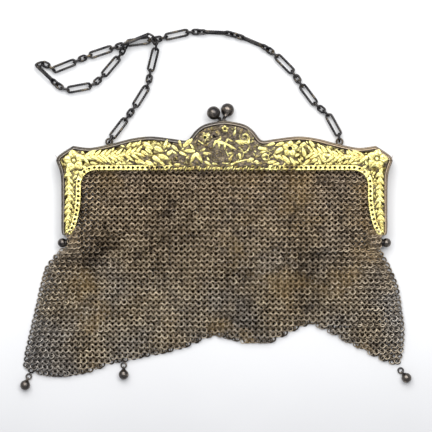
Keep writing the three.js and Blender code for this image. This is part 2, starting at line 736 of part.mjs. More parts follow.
// The links' points where they lie. Flat and upright links take turns, and those on their edge
// turn their neighbours part of the way.
function placedLinks(longLink, joints) {
  const longAt = linkKinds.flatMap((kind, i) => (kind === 'long' ? [i] : []));
  return linkKinds.map((kind, i) => {
    const points = kind === 'long' ? linkPoints(longLink, longLinkWidth)
      : linkPoints(smallLink, linkWidth);
    const lean = onEdge.reduce((sum, n) => (
      sum + Math.max(0, 1 - Math.abs(i - longAt[n - 1]) / smallBetween)
    ), 0);
    const upright = (i - longAt[0]) % 2 ? 90 : 0;
    const turn = THREE.MathUtils.degToRad(upright + Math.min(lean, 1) * edgeLean);
    const along = new THREE.Vector3().subVectors(joints[i + 1], joints[i]).normalize();
    const across = new THREE.Vector3().crossVectors(new THREE.Vector3(0, 0, 1), along).normalize();
    const frame = new THREE.Matrix4().makeBasis(along, across, along.clone().cross(across));
    frame.multiply(new THREE.Matrix4().makeRotationX(turn));
    frame.setPosition(joints[i].clone().lerp(joints[i + 1], 0.5));
    return points.map((p) => p.applyMatrix4(frame));
  });
}

// Corners of a link's inner facet at one end, in the order of its other faces.
function facetCorners(first, [a, b]) {
  const side = (wireSides - 1) / 2;
  return [[a, side], [b, side], [b, side + 1], [a, side + 1]].map(([i, j]) => (
    first + i * wireSides + j
  ));
}

// Links welded facet to facet into one closed run.
function weldedRun(links) {
  const points = links.flat();
  const index = [];
  const quad = (a, b, c, d) => index.push(a, b, c, a, c, d);
  const sizeOf = ringCount * wireSides;
  links.forEach((_, n) => {
    const first = n * sizeOf;
    const open = [n < links.length - 1 ? facets.front[0] : -1, n > 0 ? facets.back[0] : -1];
    for (let i = 0; i < ringCount; i += 1) {
      for (let j = 0; j < wireSides; j += 1) {
        const [i2, j2] = [(i + 1) % ringCount, (j + 1) % wireSides];
        const isWeld = open.includes(i) && j === (wireSides - 1) / 2;
        const at = (ring, side) => first + ring * wireSides + side;
        if (!isWeld) quad(at(i, j), at(i2, j), at(i2, j2), at(i, j2));
      }
    }
    if (n === 0) return;
    const a = facetCorners(first - sizeOf, facets.front);
    const b = facetCorners(first, facets.back);
    const spread = [0, 1, 2, 3].map((s) => a.reduce((sum, corner, k) => (
      sum + points[corner].distanceTo(points[b[(s - k + 4) % 4]])
    ), 0));
    const s = spread.indexOf(Math.min(...spread));
    for (let k = 0; k < 4; k += 1) {
      quad(a[k], a[(k + 1) % 4], b[(s - k + 7) % 4], b[(s - k + 4) % 4]);
    }
  });
  const geometry = new THREE.BufferGeometry().setFromPoints(points);
  geometry.setIndex(index);
  return solid(geometry);
}

// The chain in one piece: links are welded where it lies nearly straight, and joined with an
// overlap where it bends.
function handleChain() {
  const line = routeLine();
  const none = Array(linkKinds.length + 1).fill(-weldGap);
  const first = walk(line, linkSpans(fittedLongLink(line, none), none));
  const bites = none.map((_, i) => (bendsOf(first.joints)[i] > weldBend ? linkBite : -weldGap));
  const longLink = fittedLongLink(line, bites);
  const { joints } = walk(line, linkSpans(longLink, bites));
  const runs = [];
  placedLinks(longLink, joints).forEach((link, i) => {
    if (i === 0 || bites[i] > 0) runs.push([]);
    runs[runs.length - 1].push(link);
  });
  return joined(runs.map(weldedRun));
}

const gilt = new THREE.MeshStandardMaterial({ color: 0xd9c26a, roughness: 0.35, metalness: 1 });
const brownGilt = new THREE.MeshStandardMaterial({ color: 0x8d7a55, roughness: 0.45, metalness: 1 });
const ringMetal = new THREE.MeshStandardMaterial({ color: 0x8a7452, roughness: 0.5, metalness: 1 });
const gunmetal = new THREE.MeshStandardMaterial({ color: 0x3c3c42, roughness: 0.35, metalness: 1 });

const purse = new THREE.Group();
addMesh(purse, 'frame_front', frameFront(), gilt);
addMesh(purse, 'frame_back', frameBack(), brownGilt);
addMesh(purse, 'hinge_pin_left', hingePin(-1), gunmetal);
addMesh(purse, 'hinge_pin_right', hingePin(1), gunmetal);
clasps.forEach((clasp) => addMesh(purse, clasp.name, claspSolid(clasp), gunmetal));
addMesh(purse, 'mesh_bag', meshBag(), ringMetal);
addMesh(purse, 'handle_chain', handleChain(), gunmetal);
drops.forEach((drop) => addMesh(purse, drop.name, ballDrop(drop), gunmetal));

export default purse;
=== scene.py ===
"""A metal mesh purse lying on its back, seen from straight above.

The frame halves, clasp, hinges, drops and chain are rebuilt in detail where the CAD has them, and
the bag is woven from linked rings over the CAD bag's form. Sizes here are millimetres until a
piece is made; Blender's own units are metres.
"""

import math

import bpy
import numpy as np
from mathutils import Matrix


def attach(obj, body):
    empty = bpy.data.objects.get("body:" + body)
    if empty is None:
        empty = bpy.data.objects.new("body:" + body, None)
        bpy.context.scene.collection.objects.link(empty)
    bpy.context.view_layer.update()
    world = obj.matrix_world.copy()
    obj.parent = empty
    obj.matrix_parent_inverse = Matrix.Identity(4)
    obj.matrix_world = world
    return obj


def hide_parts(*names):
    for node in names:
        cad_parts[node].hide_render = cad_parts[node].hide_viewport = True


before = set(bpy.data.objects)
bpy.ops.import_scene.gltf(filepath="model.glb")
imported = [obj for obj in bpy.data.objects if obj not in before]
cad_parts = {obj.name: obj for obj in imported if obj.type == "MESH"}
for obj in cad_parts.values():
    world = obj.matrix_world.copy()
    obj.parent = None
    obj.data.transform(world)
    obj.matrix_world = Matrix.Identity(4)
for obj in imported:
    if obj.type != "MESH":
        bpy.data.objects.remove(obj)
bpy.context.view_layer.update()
rng = np.random.default_rng(7)

MM = 0.001

# The photograph's width in pixels and a pixel's size at the frame.
PICTURE_WIDTH = 432
PIXEL = 0.49
CAMERA_HEIGHT = 2.0

# The middle of the photograph and of the stage, in millimetres and in metres.
VIEW_X, VIEW_Y = -4.1, -34.3
STAGE_X, STAGE_Y = -0.004, -0.034

# Frame
FRAME_WIDTH = 164.6
BAND_HEIGHT = 16.4
DOME_HEIGHT = 24.1
EDGE_DROP = 11.8
LEG_LENGTH = 31.7
LEG_WIDTH = 9.3
TIP_PROUD = 2.7
CORNER_RADIUS = 7.3
FRAME_DEPTH = 10.0
PLATE = 0.9
RIM_WALL = 1.0
RIM_HEIGHT = 0.4
PARTING_GAP = 0.3
CLEARANCE = 0.3
HALF_WIDTH = FRAME_WIDTH / 2
LEG_OUTER = HALF_WIDTH - TIP_PROUD
LEG_INNER = LEG_OUTER - LEG_WIDTH
PARTING = FRAME_DEPTH / 2
LEG_END = -EDGE_DROP - LEG_LENGTH
FACE = FRAME_DEPTH - RIM_HEIGHT
DOME_TOP = DOME_HEIGHT - EDGE_DROP

# Sewing holes and their rings
HOLE_PITCH = 2.35
HOLE_SIZE = 1.4
HOLE_INSET = 1.15
BAND_STRIP = 2.3

# Hinges
HINGE_DROP = 3.9
HINGE_INSET = 6.0
KNUCKLE_SIZE = 4.4
KNUCKLE_LENGTH = 1.5
PIN_HEAD = 4.5
HINGE_Y = LEG_END - HINGE_DROP
FIRST_KNUCKLE = LEG_OUTER - HINGE_INSET

# Clasp
CLASP_BALL = 6.6
CLASP_WIRE = 1.6
CLASP_RISE = 5.4

# Bag
BAG_LENGTH = 103.9
BAG_HALF_WIDTH = 99.2
MOUTH_TUCK = 2.0
MOUTH_Y = -EDGE_DROP + MOUTH_TUCK
SEAT = PLATE + CLEARANCE
ROOM = FACE - PLATE - CLEARANCE - SEAT

# Rings of the weave
COLUMN_PITCH = 2.8
ROW_PITCH = 1.3
RING_RADIUS = 1.34
RING_WIRE = 0.26
BACK_WIRE = 0.38
RING_TILT = 26
RING_ROLL = 12

# Loose rings over the hinge knuckles: the first row's height, then for heights from low to high
# how far out they reach, left and right, and how high above the floor they lie.
HINGE_RINGS_TOP = -41.2
HINGE_RINGS_START = 71.6
HINGE_RING_ROWS = 10
HINGE_RING_COLUMNS = 5
REACH_AT = [-54, -48, -44, -42.5, -41]
REACH_LEFT = [82, 76.4, 76.4, 75.0, 73.4]
REACH_RIGHT = [77, 76.4, 76.4, 75.0, 73.4]
LEVEL_AT = [-54, -50, -48, -46]
LEVELS = [3.0, 6.2, 8.8, 9.7]

# Distances from the middle line between which the sewing rings go from bold to fine, and within
# which gilt dashes stand between the sewing holes.
BOLD_SEWING = [22, 32]
DASHES_WITHIN = 31

# Drops
DROP_BALL = 4.9
DROP_RING = 3.3
DROP_WIRE = 0.8
DROP_NECK = 1.3

# Chain
CHAIN_WIRE = 0.95
SMALL_LINK = 4.85
LINK_WIDTH = 3.3
LONG_LINK_WIDTH = 3.8
LONG_LINKS = 16
SMALL_BETWEEN = 3
LINK_BITE = 0.28
WELD_BEND = 16
WELD_GAP = 0.08
EDGE_LEAN = 75
LUG_SIZE = 3.9
LUG_WIRE = 0.9
LUG_ACROSS = 56.5
LUG_LEVEL = 2.5

# Outer outline from the middle of the dome to the corner tip: across as a share of half the
# frame's width, up as a share of the band's height or of the dome's rise above the band.
OUTLINE = [
    # across, up, part, corner
    (0.000, 1.00, "dome", True),
    (0.070, 0.91, "dome", False),
    (0.129, 0.76, "dome", False),
    (0.173, 0.46, "dome", False),
    (0.215, 0.01, "dome", False),
    (0.248, 0.88, "band", True),
    (0.310, 0.93, "band", False),
    (0.437, 1.00, "band", False),
    (0.547, 0.94, "band", False),
    (0.656, 0.80, "band", False),
    (0.735, 0.71, "band", False),
    (0.808, 0.66, "band", False),
    (0.899, 0.72, "band", True),
    (0.982, 0.44, "band", False),
    (1.000, 0.27, "band", True),
]

# The leg below the corner tip: out as a share of its width from its inner side, down as a share
# of its length.
LEG_OUTSIDE = [(1.09, 0.02), (1.02, 0.19), (1.00, 0.60), (0.99, 0.92), (0.92, 1.00)]
LEG_INSIDE = [(0.56, 1.00), (0.36, 0.92), (0.19, 0.78), (0.06, 0.60), (0.00, 0.42)]

# The bag's rows, as in the CAD: beside the legs down to below the hinges, then the skirt.
DRAPE = [
    # part, down, left, right, floor, depth, edge
    ("legs", 0.000, -0.26, -0.26, 1.0, 1.00, 1.00),
    ("legs", 0.240, 0.40, 0.40, 1.0, 1.00, 1.00),
    ("legs", 0.835, 0.76, 0.76, 1.0, 1.02, 0.90),
    ("legs", 1.000, 0.79, 0.79, 0.6, 1.04, 0.40),
    ("skirt", 0.058, 0.341, 0.155, 0.3, 1.04, 0.24),
    ("skirt", 0.157, 0.554, 0.291, 0.0, 1.02, 0.22),
    ("skirt", 0.339, 0.663, 0.465, 0.0, 0.96, 0.22),
    ("skirt", 0.669, 0.837, 0.578, 0.0, 0.82, 0.22),
    ("skirt", 0.868, 0.942, 0.554, 0.0, 0.72, 0.22),
    ("skirt", 1.000, 1.000, 0.465, 0.0, 0.62, 0.22),
]

# The hem: across as a share of the bag's half width, drop as a share of its length.
HEM = [
    (-1.000, 0.958), (-0.963, 0.976), (-0.887, 0.993), (-0.800, 1.000), (-0.665, 0.974),
    (-0.575, 0.938), (-0.457, 0.914), (-0.210, 0.858), (-0.060, 0.797), (0.095, 0.839),
    (0.215, 0.837), (0.323, 0.786), (0.413, 0.745), (0.650, 0.854), (0.775, 0.917),
    (0.862, 0.950),
]

# Folds of the front wall.
FOLDS = [
    # along, lean, from, to, width, sink
    (0.27, 0.02, 0.05, 0.60, 0.05, 0.20),
    (0.38, -0.03, 0.00, 0.75, 0.05, 0.14),
    (0.72, 0.02, 0.35, 1.05, 0.06, 0.26),
    (0.07, 0.06, 0.25, 0.55, 0.05, 0.30),
    (0.55, 0.00, 0.45, 1.05, 0.06, 0.16),
]

# Darker patches of the front wall: painted shade beside the legs and by the left hinge.
SHADE_PATCHES = [
    # x, y, half width, half height, depth
    (-70.0, -33.0, 3.6, 12.0, 0.24),
    (70.0, -32.0, 3.0, 12.0, 0.12),
    (-58.0, -50.0, 7.0, 5.0, 0.10),
    (-72.0, -55.0, 8.0, 4.0, 0.12),
]

# The drops: place along the hem and which way the ring and the ball lie, in degrees from +X.
DROPS = [
    ("ball_drop_left", 0.020, -105, -112),
    ("ball_drop_middle", 0.270, -92, -90),
    ("ball_drop_right", 1.000, -57, -52),
]

# The chain's route between its lugs, the same points as in the CAD.
LEVEL = 2.0
CROSSING = 5.9
ROUTE = [
    (-53.5, 7.0, LEVEL), (-46.7, 15.4, LEVEL), (-43.3, 20.6, LEVEL), (-37.6, 30.0, LEVEL),
    (-36.2, 37.5, LEVEL), (-34.4, 45.5, LEVEL), (-33.2, 50.0, 5.2), (-35.2, 53.0, CROSSING),
    (-38.6, 54.6, CROSSING), (-43.2, 52.2, CROSSING), (-47.6, 50.6, CROSSING),
    (-50.0, 46.2, 4.4), (-53.5, 41.5, LEVEL), (-60.1, 34.0, LEVEL), (-64.2, 30.4, LEVEL),
    (-71.5, 28.0, LEVEL), (-78.0, 27.8, LEVEL), (-82.2, 30.2, LEVEL), (-87.2, 35.0, LEVEL),
    (-91.8, 38.8, LEVEL), (-92.2, 40.4, LEVEL), (-88.4, 40.6, LEVEL), (-84.6, 38.2, LEVEL),
    (-78.6, 34.2, LEVEL), (-76.2, 35.6, LEVEL), (-77.2, 38.8, LEVEL), (-73.0, 41.6, LEVEL),
    (-66.0, 44.4, LEVEL), (-59.8, 46.8, LEVEL), (-53.0, 48.6, LEVEL), (-45.8, 51.0, LEVEL),
    (-38.4, 51.8, LEVEL), (-31.8, 52.6, LEVEL), (-24.2, 55.0, LEVEL), (-16.6, 56.0, LEVEL),
    (-8.6, 56.0, LEVEL), (0.6, 55.6, LEVEL), (9.0, 53.2, LEVEL), (17.6, 49.8, LEVEL),
    (25.2, 44.6, LEVEL), (33.4, 36.4, LEVEL), (39.0, 28.2, LEVEL), (45.2, 20.2, LEVEL),
    (50.6, 15.6, LEVEL), (55.6, 8.8, LEVEL),
]
ON_EDGE = [4, 7, 12, 13]


# Shapes

class Heap:
    """Many small shapes gathered into one mesh. tone is the gilding or brightness of a shape, and on the
    bag's rings it also holds painted light and shade; recess is 1 where a point lies in a groove, where
    the gilt gets painted shade. Both lie between 0 and 1."""

    def __init__(self):
        self.points = []
        self.faces = []
        self.tones = []
        self.recesses = []
        self.count = 0

    def add(self, points, faces, tone=0.5, recess=0.0):
        points = np.asarray(points, float).reshape(-1, 3)
        self.points.append(points)
        self.faces.append(np.asarray(faces, int) + self.count)
        self.tones.append(np.full(len(points), tone))
        self.recesses.append(np.broadcast_to(recess, (len(points),)))
        self.count += len(points)

    def piece(self, name, metal, node, slot):
        piece(name, np.concatenate(self.points), self.faces, metal, node,
              np.concatenate(self.tones), np.concatenate(self.recesses))


def mark(mesh, name, values):
    layer = mesh.attributes.new(name, "FLOAT", "POINT")
    layer.data.foreach_set("value", np.asarray(values, np.float32))


def riding(name, mesh, metal, node):
    """A mesh as an object on the body that takes the place of a CAD node."""
    mesh.materials.clear()
    mesh.materials.append(metal)
    made = bpy.data.objects.new(name, mesh)
    bpy.context.collection.objects.link(made)
    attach(made, "root")
    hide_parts(node)


def piece(name, points, faces, metal, node, tones, recesses=None):
    """A piece of the purse from points in millimetres and arrays of faces."""
    mesh = bpy.data.meshes.new(name)
    starts = np.cumsum([0] + [size for f in faces for size in [f.shape[1]] * len(f)])
    corners = np.concatenate([f.ravel() for f in faces])
    mesh.vertices.add(len(points))
    mesh.vertices.foreach_set("co", (points * MM).astype(np.float32).ravel())
    mesh.loops.add(len(corners))
    mesh.loops.foreach_set("vertex_index", corners.astype(np.int32))
    mesh.polygons.add(len(starts) - 1)
    mesh.polygons.foreach_set("loop_start", starts[:-1].astype(np.int32))
    mesh.polygons.foreach_set("use_smooth", np.full(len(starts) - 1, True))
    mesh.update(calc_edges=True)
    mesh.validate()
    mark(mesh, "tone", tones)
    if recesses is not None:
        mark(mesh, "recess", recesses)
    riding(name, mesh, metal, node)


def grid_faces(rows, columns, wrap_rows=False, wrap_columns=False):
    """Quads over a grid of points that are numbered row by row."""
    i = np.arange(rows if wrap_rows else rows - 1)[:, None]
    j = np.arange(columns if wrap_columns else columns - 1)[None, :]
    i2, j2 = (i + 1) % rows, (j + 1) % columns
    quads = np.stack([i * columns + j, i2 * columns + j, i2 * columns + j2, i * columns + j2], -1)
    return quads.reshape(-1, 4)


def turns(count):
    """Angles evenly round a full turn."""
    return np.linspace(0, 2 * math.pi, count, endpoint=False)


def flat_circle(middle, radius, count):
    turn = turns(count)
    return np.asarray(middle) + np.stack([radius * np.cos(turn), radius * np.sin(turn), 0 * turn], 1)


def unit(v):
    return v / np.maximum(np.linalg.norm(v, axis=-1, keepdims=True), 1e-9)


def tube(path, radius, sides=8, closed=False, twist=None):
    """A round wire along a path. radius is one number or one for each point; twist gives a
    two-strand rope with that many turns over the path."""
    path = np.asarray(path, float)
    radius = np.broadcast_to(np.asarray(radius, float), (len(path),))
    if closed:
        along = unit(np.roll(path, -1, 0) - np.roll(path, 1, 0))
    else:
        along = unit(np.gradient(path, axis=0))
    side = np.empty_like(path)
    start = np.array([0.0, 0.0, 1.0]) if abs(along[0][2]) < 0.9 else np.array([1.0, 0.0, 0.0])
    for i, way in enumerate(along):
        start = unit(start - way * np.dot(start, way))
        side[i] = start
    other = np.cross(along, side)
    turn = turns(sides)[None, :]
    reach = np.repeat(radius[:, None], sides, 1)
    if twist is not None:
        share = np.arange(len(path))[:, None] / len(path)
        reach = reach * (0.91 + 0.09 * np.cos(2 * turn - 2 * math.pi * twist * share))
    points = (path[:, None] + reach[..., None] * (np.cos(turn)[..., None] * side[:, None]
                                                  + np.sin(turn)[..., None] * other[:, None]))
    return points.reshape(-1, 3), grid_faces(len(path), sides, closed, True)


def lathe(profile, sides, place, axis=(0, 0, 1)):
    """A turned shape: rows of (distance along the axis, radius)."""
    axis = unit(np.asarray(axis, float))
    start = np.array([1.0, 0.0, 0.0]) if abs(axis[0]) < 0.9 else np.array([0.0, 1.0, 0.0])
    side = unit(start - axis * np.dot(start, axis))
    other = np.cross(axis, side)
    turn = turns(sides)
    spokes = np.cos(turn)[:, None] * side + np.sin(turn)[:, None] * other
    rows = [np.asarray(place) + along * axis + radius * spokes for along, radius in profile]
    return np.concatenate(rows), grid_faces(len(profile), sides, False, True)


def ball_profile(size, rows, seam=0.0):
    """A ball's section from pole to pole, with a fine groove round its middle."""
    tilt = np.linspace(-math.pi / 2, math.pi / 2, rows * 2 + 1)
    radius = size / 2 - seam * np.exp(-((tilt / 0.05) ** 2))
    return np.stack([radius * np.sin(tilt), np.maximum(radius * np.cos(tilt), 1e-3)], 1)


def spline(points, steps, closed=False):
    """A smooth curve through points."""
    points = np.asarray(points, float)
    count = len(points)
    spans = count if closed else count - 1
    out = []
    for k in range(spans):
        picks = [k - 1, k, k + 1, k + 2]
        a, b, c, d = (points[i % count] if closed else points[min(max(i, 0), count - 1)]
                      for i in picks)
        t = np.linspace(0, 1, steps, endpoint=False)[:, None]
        out.append(0.5 * (2 * b + (c - a) * t + (2 * a - 5 * b + 4 * c - d) * t ** 2
                          + (3 * b - a - 3 * c + d) * t ** 3))
    if not closed:
        out.append(points[-1:])
    return np.concatenate(out)


def measured(path):
    """The distance along a path at each of its points."""
    return np.concatenate([[0], np.cumsum(np.linalg.norm(np.diff(path, axis=0), axis=1))])


def path_at(path, reach, at):
    """The places on a path at distances along it."""
    return np.stack([np.interp(at, reach, column) for column in path.T], 1)


def spaced(path, pitch):
    """Places and directions along a path, evenly spaced at about the pitch."""
    reach = measured(path)
    count = max(int(round(reach[-1] / pitch)), 1)
    at = (np.arange(count) + 0.5) / count * reach[-1]
    ahead, behind = (path_at(path, reach, at + step) for step in (0.2, -0.2))
    return path_at(path, reach, at), unit(ahead - behind)


def plate(name, loops, low, high, metal, node, slot, bevel=0.06):
    """A flat plate between two heights, from closed loops: its outside, then its holes."""
    curve = bpy.data.curves.new(name, "CURVE")
    curve.dimensions = "2D"
    curve.fill_mode = "BOTH"
    curve.extrude = ((high - low) / 2 - bevel) * MM
    curve.bevel_depth = bevel * MM
    curve.bevel_resolution = 1
    curve.offset = -bevel * MM
    for loop in loops:
        line = curve.splines.new("POLY")
        line.points.add(len(loop) - 1)
        flat = np.zeros((len(loop), 4))
        flat[:, :2] = np.asarray(loop) * MM
        flat[:, 3] = 1
        line.points.foreach_set("co", flat.ravel())
        line.use_cyclic_u = True
    drawn = bpy.data.objects.new(name, curve)
    bpy.context.collection.objects.link(drawn)
    bpy.context.view_layer.update()
    seen = drawn.evaluated_get(bpy.context.evaluated_depsgraph_get())
    mesh = bpy.data.meshes.new_from_object(seen)
    bpy.data.objects.remove(drawn)
    for vertex in mesh.vertices:
        vertex.co.z += (low + high) / 2 * MM
    mark(mesh, "tone", np.full(len(mesh.vertices), 0.5))
    riding(name, mesh, metal, node)


def polygon(x, y, radius, sides=10):
    return flat_circle((x, y, 0), radius, sides)[:, :2]


# The frame's outline

def outline_points():
    rows = []
    for across, up, part, _ in OUTLINE:
        dome_foot = BAND_HEIGHT * 0.9
        height = dome_foot + up * (DOME_HEIGHT - dome_foot) if part == "dome" else up * BAND_HEIGHT
        rows.append((across * HALF_WIDTH, height - EDGE_DROP))
    return np.array(rows)


def leg_points(rows):
    return np.array([(LEG_INNER + out * LEG_WIDTH, -EDGE_DROP - down * LEG_LENGTH)
                     for out, down in rows])


def outer_half(steps=6):
    """From the top of the dome to the foot of the right leg, along its outer side."""
    points = outline_points()
    corners = [i for i, row in enumerate(OUTLINE) if row[3]]
    runs = [spline(points[a:b + 1], steps)[:-1] for a, b in zip(corners, corners[1:])]
    leg = np.concatenate([points[-1:], leg_points(LEG_OUTSIDE)])
    return np.concatenate(runs + [spline(leg, steps)])


def inner_half(steps=4):
    """From the foot of the right leg up its inner side and round the corner."""
    turn = np.linspace(0, math.pi / 2, 12)[:, None]
    corner = np.concatenate([
        LEG_INNER - CORNER_RADIUS * (1 - np.cos(turn)),
        -EDGE_DROP - CORNER_RADIUS * (1 - np.sin(turn)),
    ], 1)
    return np.concatenate([spline(leg_points(LEG_INSIDE), steps), corner])


def mirrored(points):
    return points[::-1] * np.array([-1, 1])


def to_the_right(along):
    return np.stack([along[:, 1], -along[:, 0]], 1)


def inset(points, distance):
    """A run moved to the right of its own direction."""
    return points + to_the_right(unit(np.gradient(points, axis=0))) * distance


OUTER = np.concatenate([mirrored(outer_half()), outer_half()[1:]])
INNER = np.concatenate([inner_half(), mirrored(inner_half())])
FRAME_LOOP = np.concatenate([OUTER, INNER])


def rim_run(depth):
    """The outline moved in by a depth that shrinks down the legs, where the rim is narrower."""
    share = np.interp(OUTER[:, 1], [LEG_END, LEG_END + 9, -EDGE_DROP - 2], [0.55, 0.78, 1.0])
    return inset(OUTER, depth * share[:, None])


def wall_height(x):
    half = outer_half()
    return float(np.interp(x, half[:, 0], half[:, 1]))


def inside(points, loop):
    """Which points are inside a closed loop."""
    x, y = points[:, 0][:, None], points[:, 1][:, None]
    a, b = loop, np.roll(loop, -1, 0)
    crosses = (a[:, 1] > y) != (b[:, 1] > y)
    rise = np.where(np.abs(b[:, 1] - a[:, 1]) < 1e-9, 1e-9, b[:, 1] - a[:, 1])
    at = a[:, 0] + (y - a[:, 1]) / rise * (b[:, 0] - a[:, 0])
    return (crosses & (x < at)).sum(1) % 2 == 1


def strip(run, width):
    """The closed strip between a run and the same run moved in."""
    return np.concatenate([run, inset(run, width)[::-1]])


def sewing_holes():
    """For each sewing hole its place on the inner edge, the way along it and the way outwards."""
    places, along = spaced(INNER, HOLE_PITCH)
    return zip(places, along, to_the_right(along))


# Materials

class Nodes:
    """A material's node tree, built in few words."""

    def __init__(self, name):
        self.material = bpy.data.materials.new(name)
        self.material.use_nodes = True
        self.tree = self.material.node_tree
        self.tree.nodes.clear()
        self.shader = self.add("ShaderNodeBsdfPrincipled")
        output = self.add("ShaderNodeOutputMaterial")
        self.link(self.shader.outputs[0], output.inputs[0])
        self.place = self.add("ShaderNodeTexCoord").outputs["Object"]

    def add(self, kind, **values):
        node = self.tree.nodes.new(kind)
        for key, value in values.items():
            if hasattr(node, key):
                setattr(node, key, value)
            else:
                node.inputs[key.replace("_", " ").title()].default_value = value
        return node

    def link(self, out, socket):
        self.tree.links.new(out, socket)

    def noise(self, scale, detail=4.0, roughness=0.55):
        node = self.add("ShaderNodeTexNoise", Scale=scale, Detail=detail, Roughness=roughness)
        self.link(self.place, node.inputs["Vector"])
        return node.outputs["Fac"]

    def ramp(self, value, stops):
        """stops is a list of (position, colour)."""
        node = self.add("ShaderNodeValToRGB")
        elements = node.color_ramp.elements
        while len(elements) < len(stops):
            elements.new(0.5)
        for element, (position, colour) in zip(elements, stops):
            element.position = position
            element.color = (*colour, 1)
        self.link(value, node.inputs[0])
        return node.outputs[0]

    def range(self, value, from_low, from_high, low, high):
        node = self.add("ShaderNodeMapRange")
        self.link(value, node.inputs[0])
        for socket, number in zip(node.inputs[1:5], (from_low, from_high, low, high)):
            socket.default_value = number
        return node.outputs[0]

    def mix(self, share, first, second, blend="MIX"):
        node = self.add("ShaderNodeMix", data_type="RGBA", blend_type=blend)
        self.put(share, node.inputs[0])
        self.put(first, node.inputs[6])
        self.put(second, node.inputs[7])
        return node.outputs[2]

    def math(self, operation, first, second=0.0):
        node = self.add("ShaderNodeMath", operation=operation)
        self.put(first, node.inputs[0])
        self.put(second, node.inputs[1])
        return node.outputs[0]

    def put(self, value, socket):
        if isinstance(value, bpy.types.NodeSocket):
            self.link(value, socket)
        elif isinstance(value, tuple):
            socket.default_value = (*value, 1)
        else:
            socket.default_value = value

    def attribute(self, name):
        return self.add("ShaderNodeAttribute", attribute_name=name).outputs["Fac"]

    def x_and_y(self):
        parts = self.add("ShaderNodeSeparateXYZ")
        self.link(self.place, parts.inputs[0])
        return parts.outputs["X"], parts.outputs["Y"]

    def across(self):
        """Distance from the purse's middle line and height up it, in metres."""
        x, y = self.x_and_y()
        return self.math("ABSOLUTE", x), y

    def bump(self, scale, detail, strength, distance):
        node = self.add("ShaderNodeBump", Strength=strength, Distance=distance)
        self.link(self.noise(scale, detail), node.inputs["Height"])
        self.link(node.outputs[0], self.shader.inputs["Normal"])

    def finish(self, colour, scale, detail, low, high, metallic=1.0):
        """Sets the colour, and a roughness that varies between low and high."""
        self.put(colour, self.shader.inputs["Base Color"])
        roughness = self.range(self.noise(scale, detail), 0.3, 0.7, low, high)
        self.link(roughness, self.shader.inputs["Roughness"])
        self.shader.inputs["Metallic"].default_value = metallic
        return self.material


def gilt_metal(name, shift, bare_light=1.0):
    """Gilding that has rubbed through to brown metal near the middle of the frame. shift moves the wear:
    higher keeps more gold. bare_light is the brightness of the bare metal."""
    n = Nodes(name)
    across, _ = n.across()
    kept = n.range(across, 0.014, 0.046, -0.15, 1.0)
    patches = n.range(n.noise(330, 6, 0.7), 0.35, 0.65, -0.6, 0.6)
    tone = n.range(n.attribute("tone"), 0.0, 1.0, -1.0, 1.0)
    share = n.math("ADD", n.math("ADD", kept, patches), n.math("ADD", tone, shift))
    share = n.range(share, 0.3, 0.7, 0.0, 1.0)
    gold = n.ramp(n.noise(340, 4), [(0.28, (0.60, 0.43, 0.16)), (0.40, (0.78, 0.68, 0.25)),
                                    (0.7, (0.88, 0.83, 0.36))])
    bare = n.ramp(n.noise(420, 4), [(0.3, (0.07, 0.056, 0.042)), (0.7, (0.23, 0.19, 0.145))])
    bare = n.mix(1.0 - bare_light, bare, (0.012, 0.009, 0.006))
    specks = n.range(n.noise(1300, 3), 0.56, 0.66, 0.0, 0.8)
    colour = n.mix(share, bare, gold)
    colour = n.mix(n.range(n.noise(760, 5, 0.65), 0.50, 0.64, 0.0, 0.62), colour, (0.42, 0.33, 0.09))
    colour = n.mix(specks, colour, (0.20, 0.13, 0.04))
    # Painted shade: the gilt is darkened almost to black in the leaves' grooves and at their edges.
    groove = n.range(n.attribute("recess"), 0.0, 1.0, 0.0, 0.93)
    colour = n.mix(groove, colour, (0.03, 0.02, 0.006))
    n.bump(1200, 4, 0.4, 0.0006)
    return n.finish(colour, 900, 3, 0.26, 0.46)


def ground_metal():
    """The ground between the leaves: gilt with dark chasing, bare brown in the middle; its near-black
    parts are partly painted shade in the gaps between the raised leaves.
    """
    n = Nodes("frame_ground")
    across, _ = n.across()
    kept = n.range(across, 0.016, 0.036, -0.35, 0.45)
    share = n.math("ADD", kept, n.range(n.noise(240, 5), 0.35, 0.65, -0.3, 0.75))
    # The near-black stops of both ramps are partly painted shade between the leaves.
    brown = n.ramp(n.noise(420, 6, 0.7), [(0.34, (0.02, 0.016, 0.012)), (0.56, (0.13, 0.105, 0.08)),
                                          (0.72, (0.42, 0.34, 0.20))])
    gilt = n.ramp(n.noise(560, 5), [(0.42, (0.02, 0.014, 0.003)), (0.54, (0.12, 0.09, 0.025)),
                                    (0.64, (0.55, 0.48, 0.18)), (0.75, (0.80, 0.74, 0.34))])
    n.bump(900, 4, 0.6, 0.0007)
    return n.finish(n.mix(n.range(share, 0.0, 1.0, 0.0, 1.0), brown, gilt), 700, 4, 0.35, 0.6)


def rim_metal(name):
    """The frame's rolled rim and walls: grey-brown metal with gold left in places."""
    n = Nodes(name)
    gold = n.range(n.noise(45, 4), 0.50, 0.66, 0.0, 0.6)
    tone = n.attribute("tone")
    grey = n.ramp(tone, [(0.0, (0.012, 0.009, 0.007)), (0.4, (0.075, 0.068, 0.062)),
                         (0.8, (0.21, 0.19, 0.17))])
    spots = n.range(n.noise(300, 4), 0.3, 0.7, -0.25, 0.35)
    colour = n.mix(n.math("MULTIPLY", gold, tone), grey, (0.34, 0.27, 0.15))
    x, _ = n.x_and_y()
    warm = n.math("MULTIPLY", n.range(x, -0.01, 0.05, 0.0, 0.75), tone)
    colour = n.mix(warm, colour, (0.50, 0.37, 0.24))
    colour = n.mix(n.range(spots, 0.0, 1.0, 0.0, 1.0), colour, (0.25, 0.22, 0.19))
    n.bump(900, 4, 0.2, 0.0003)
    return n.finish(colour, 800, 4, 0.28, 0.5)


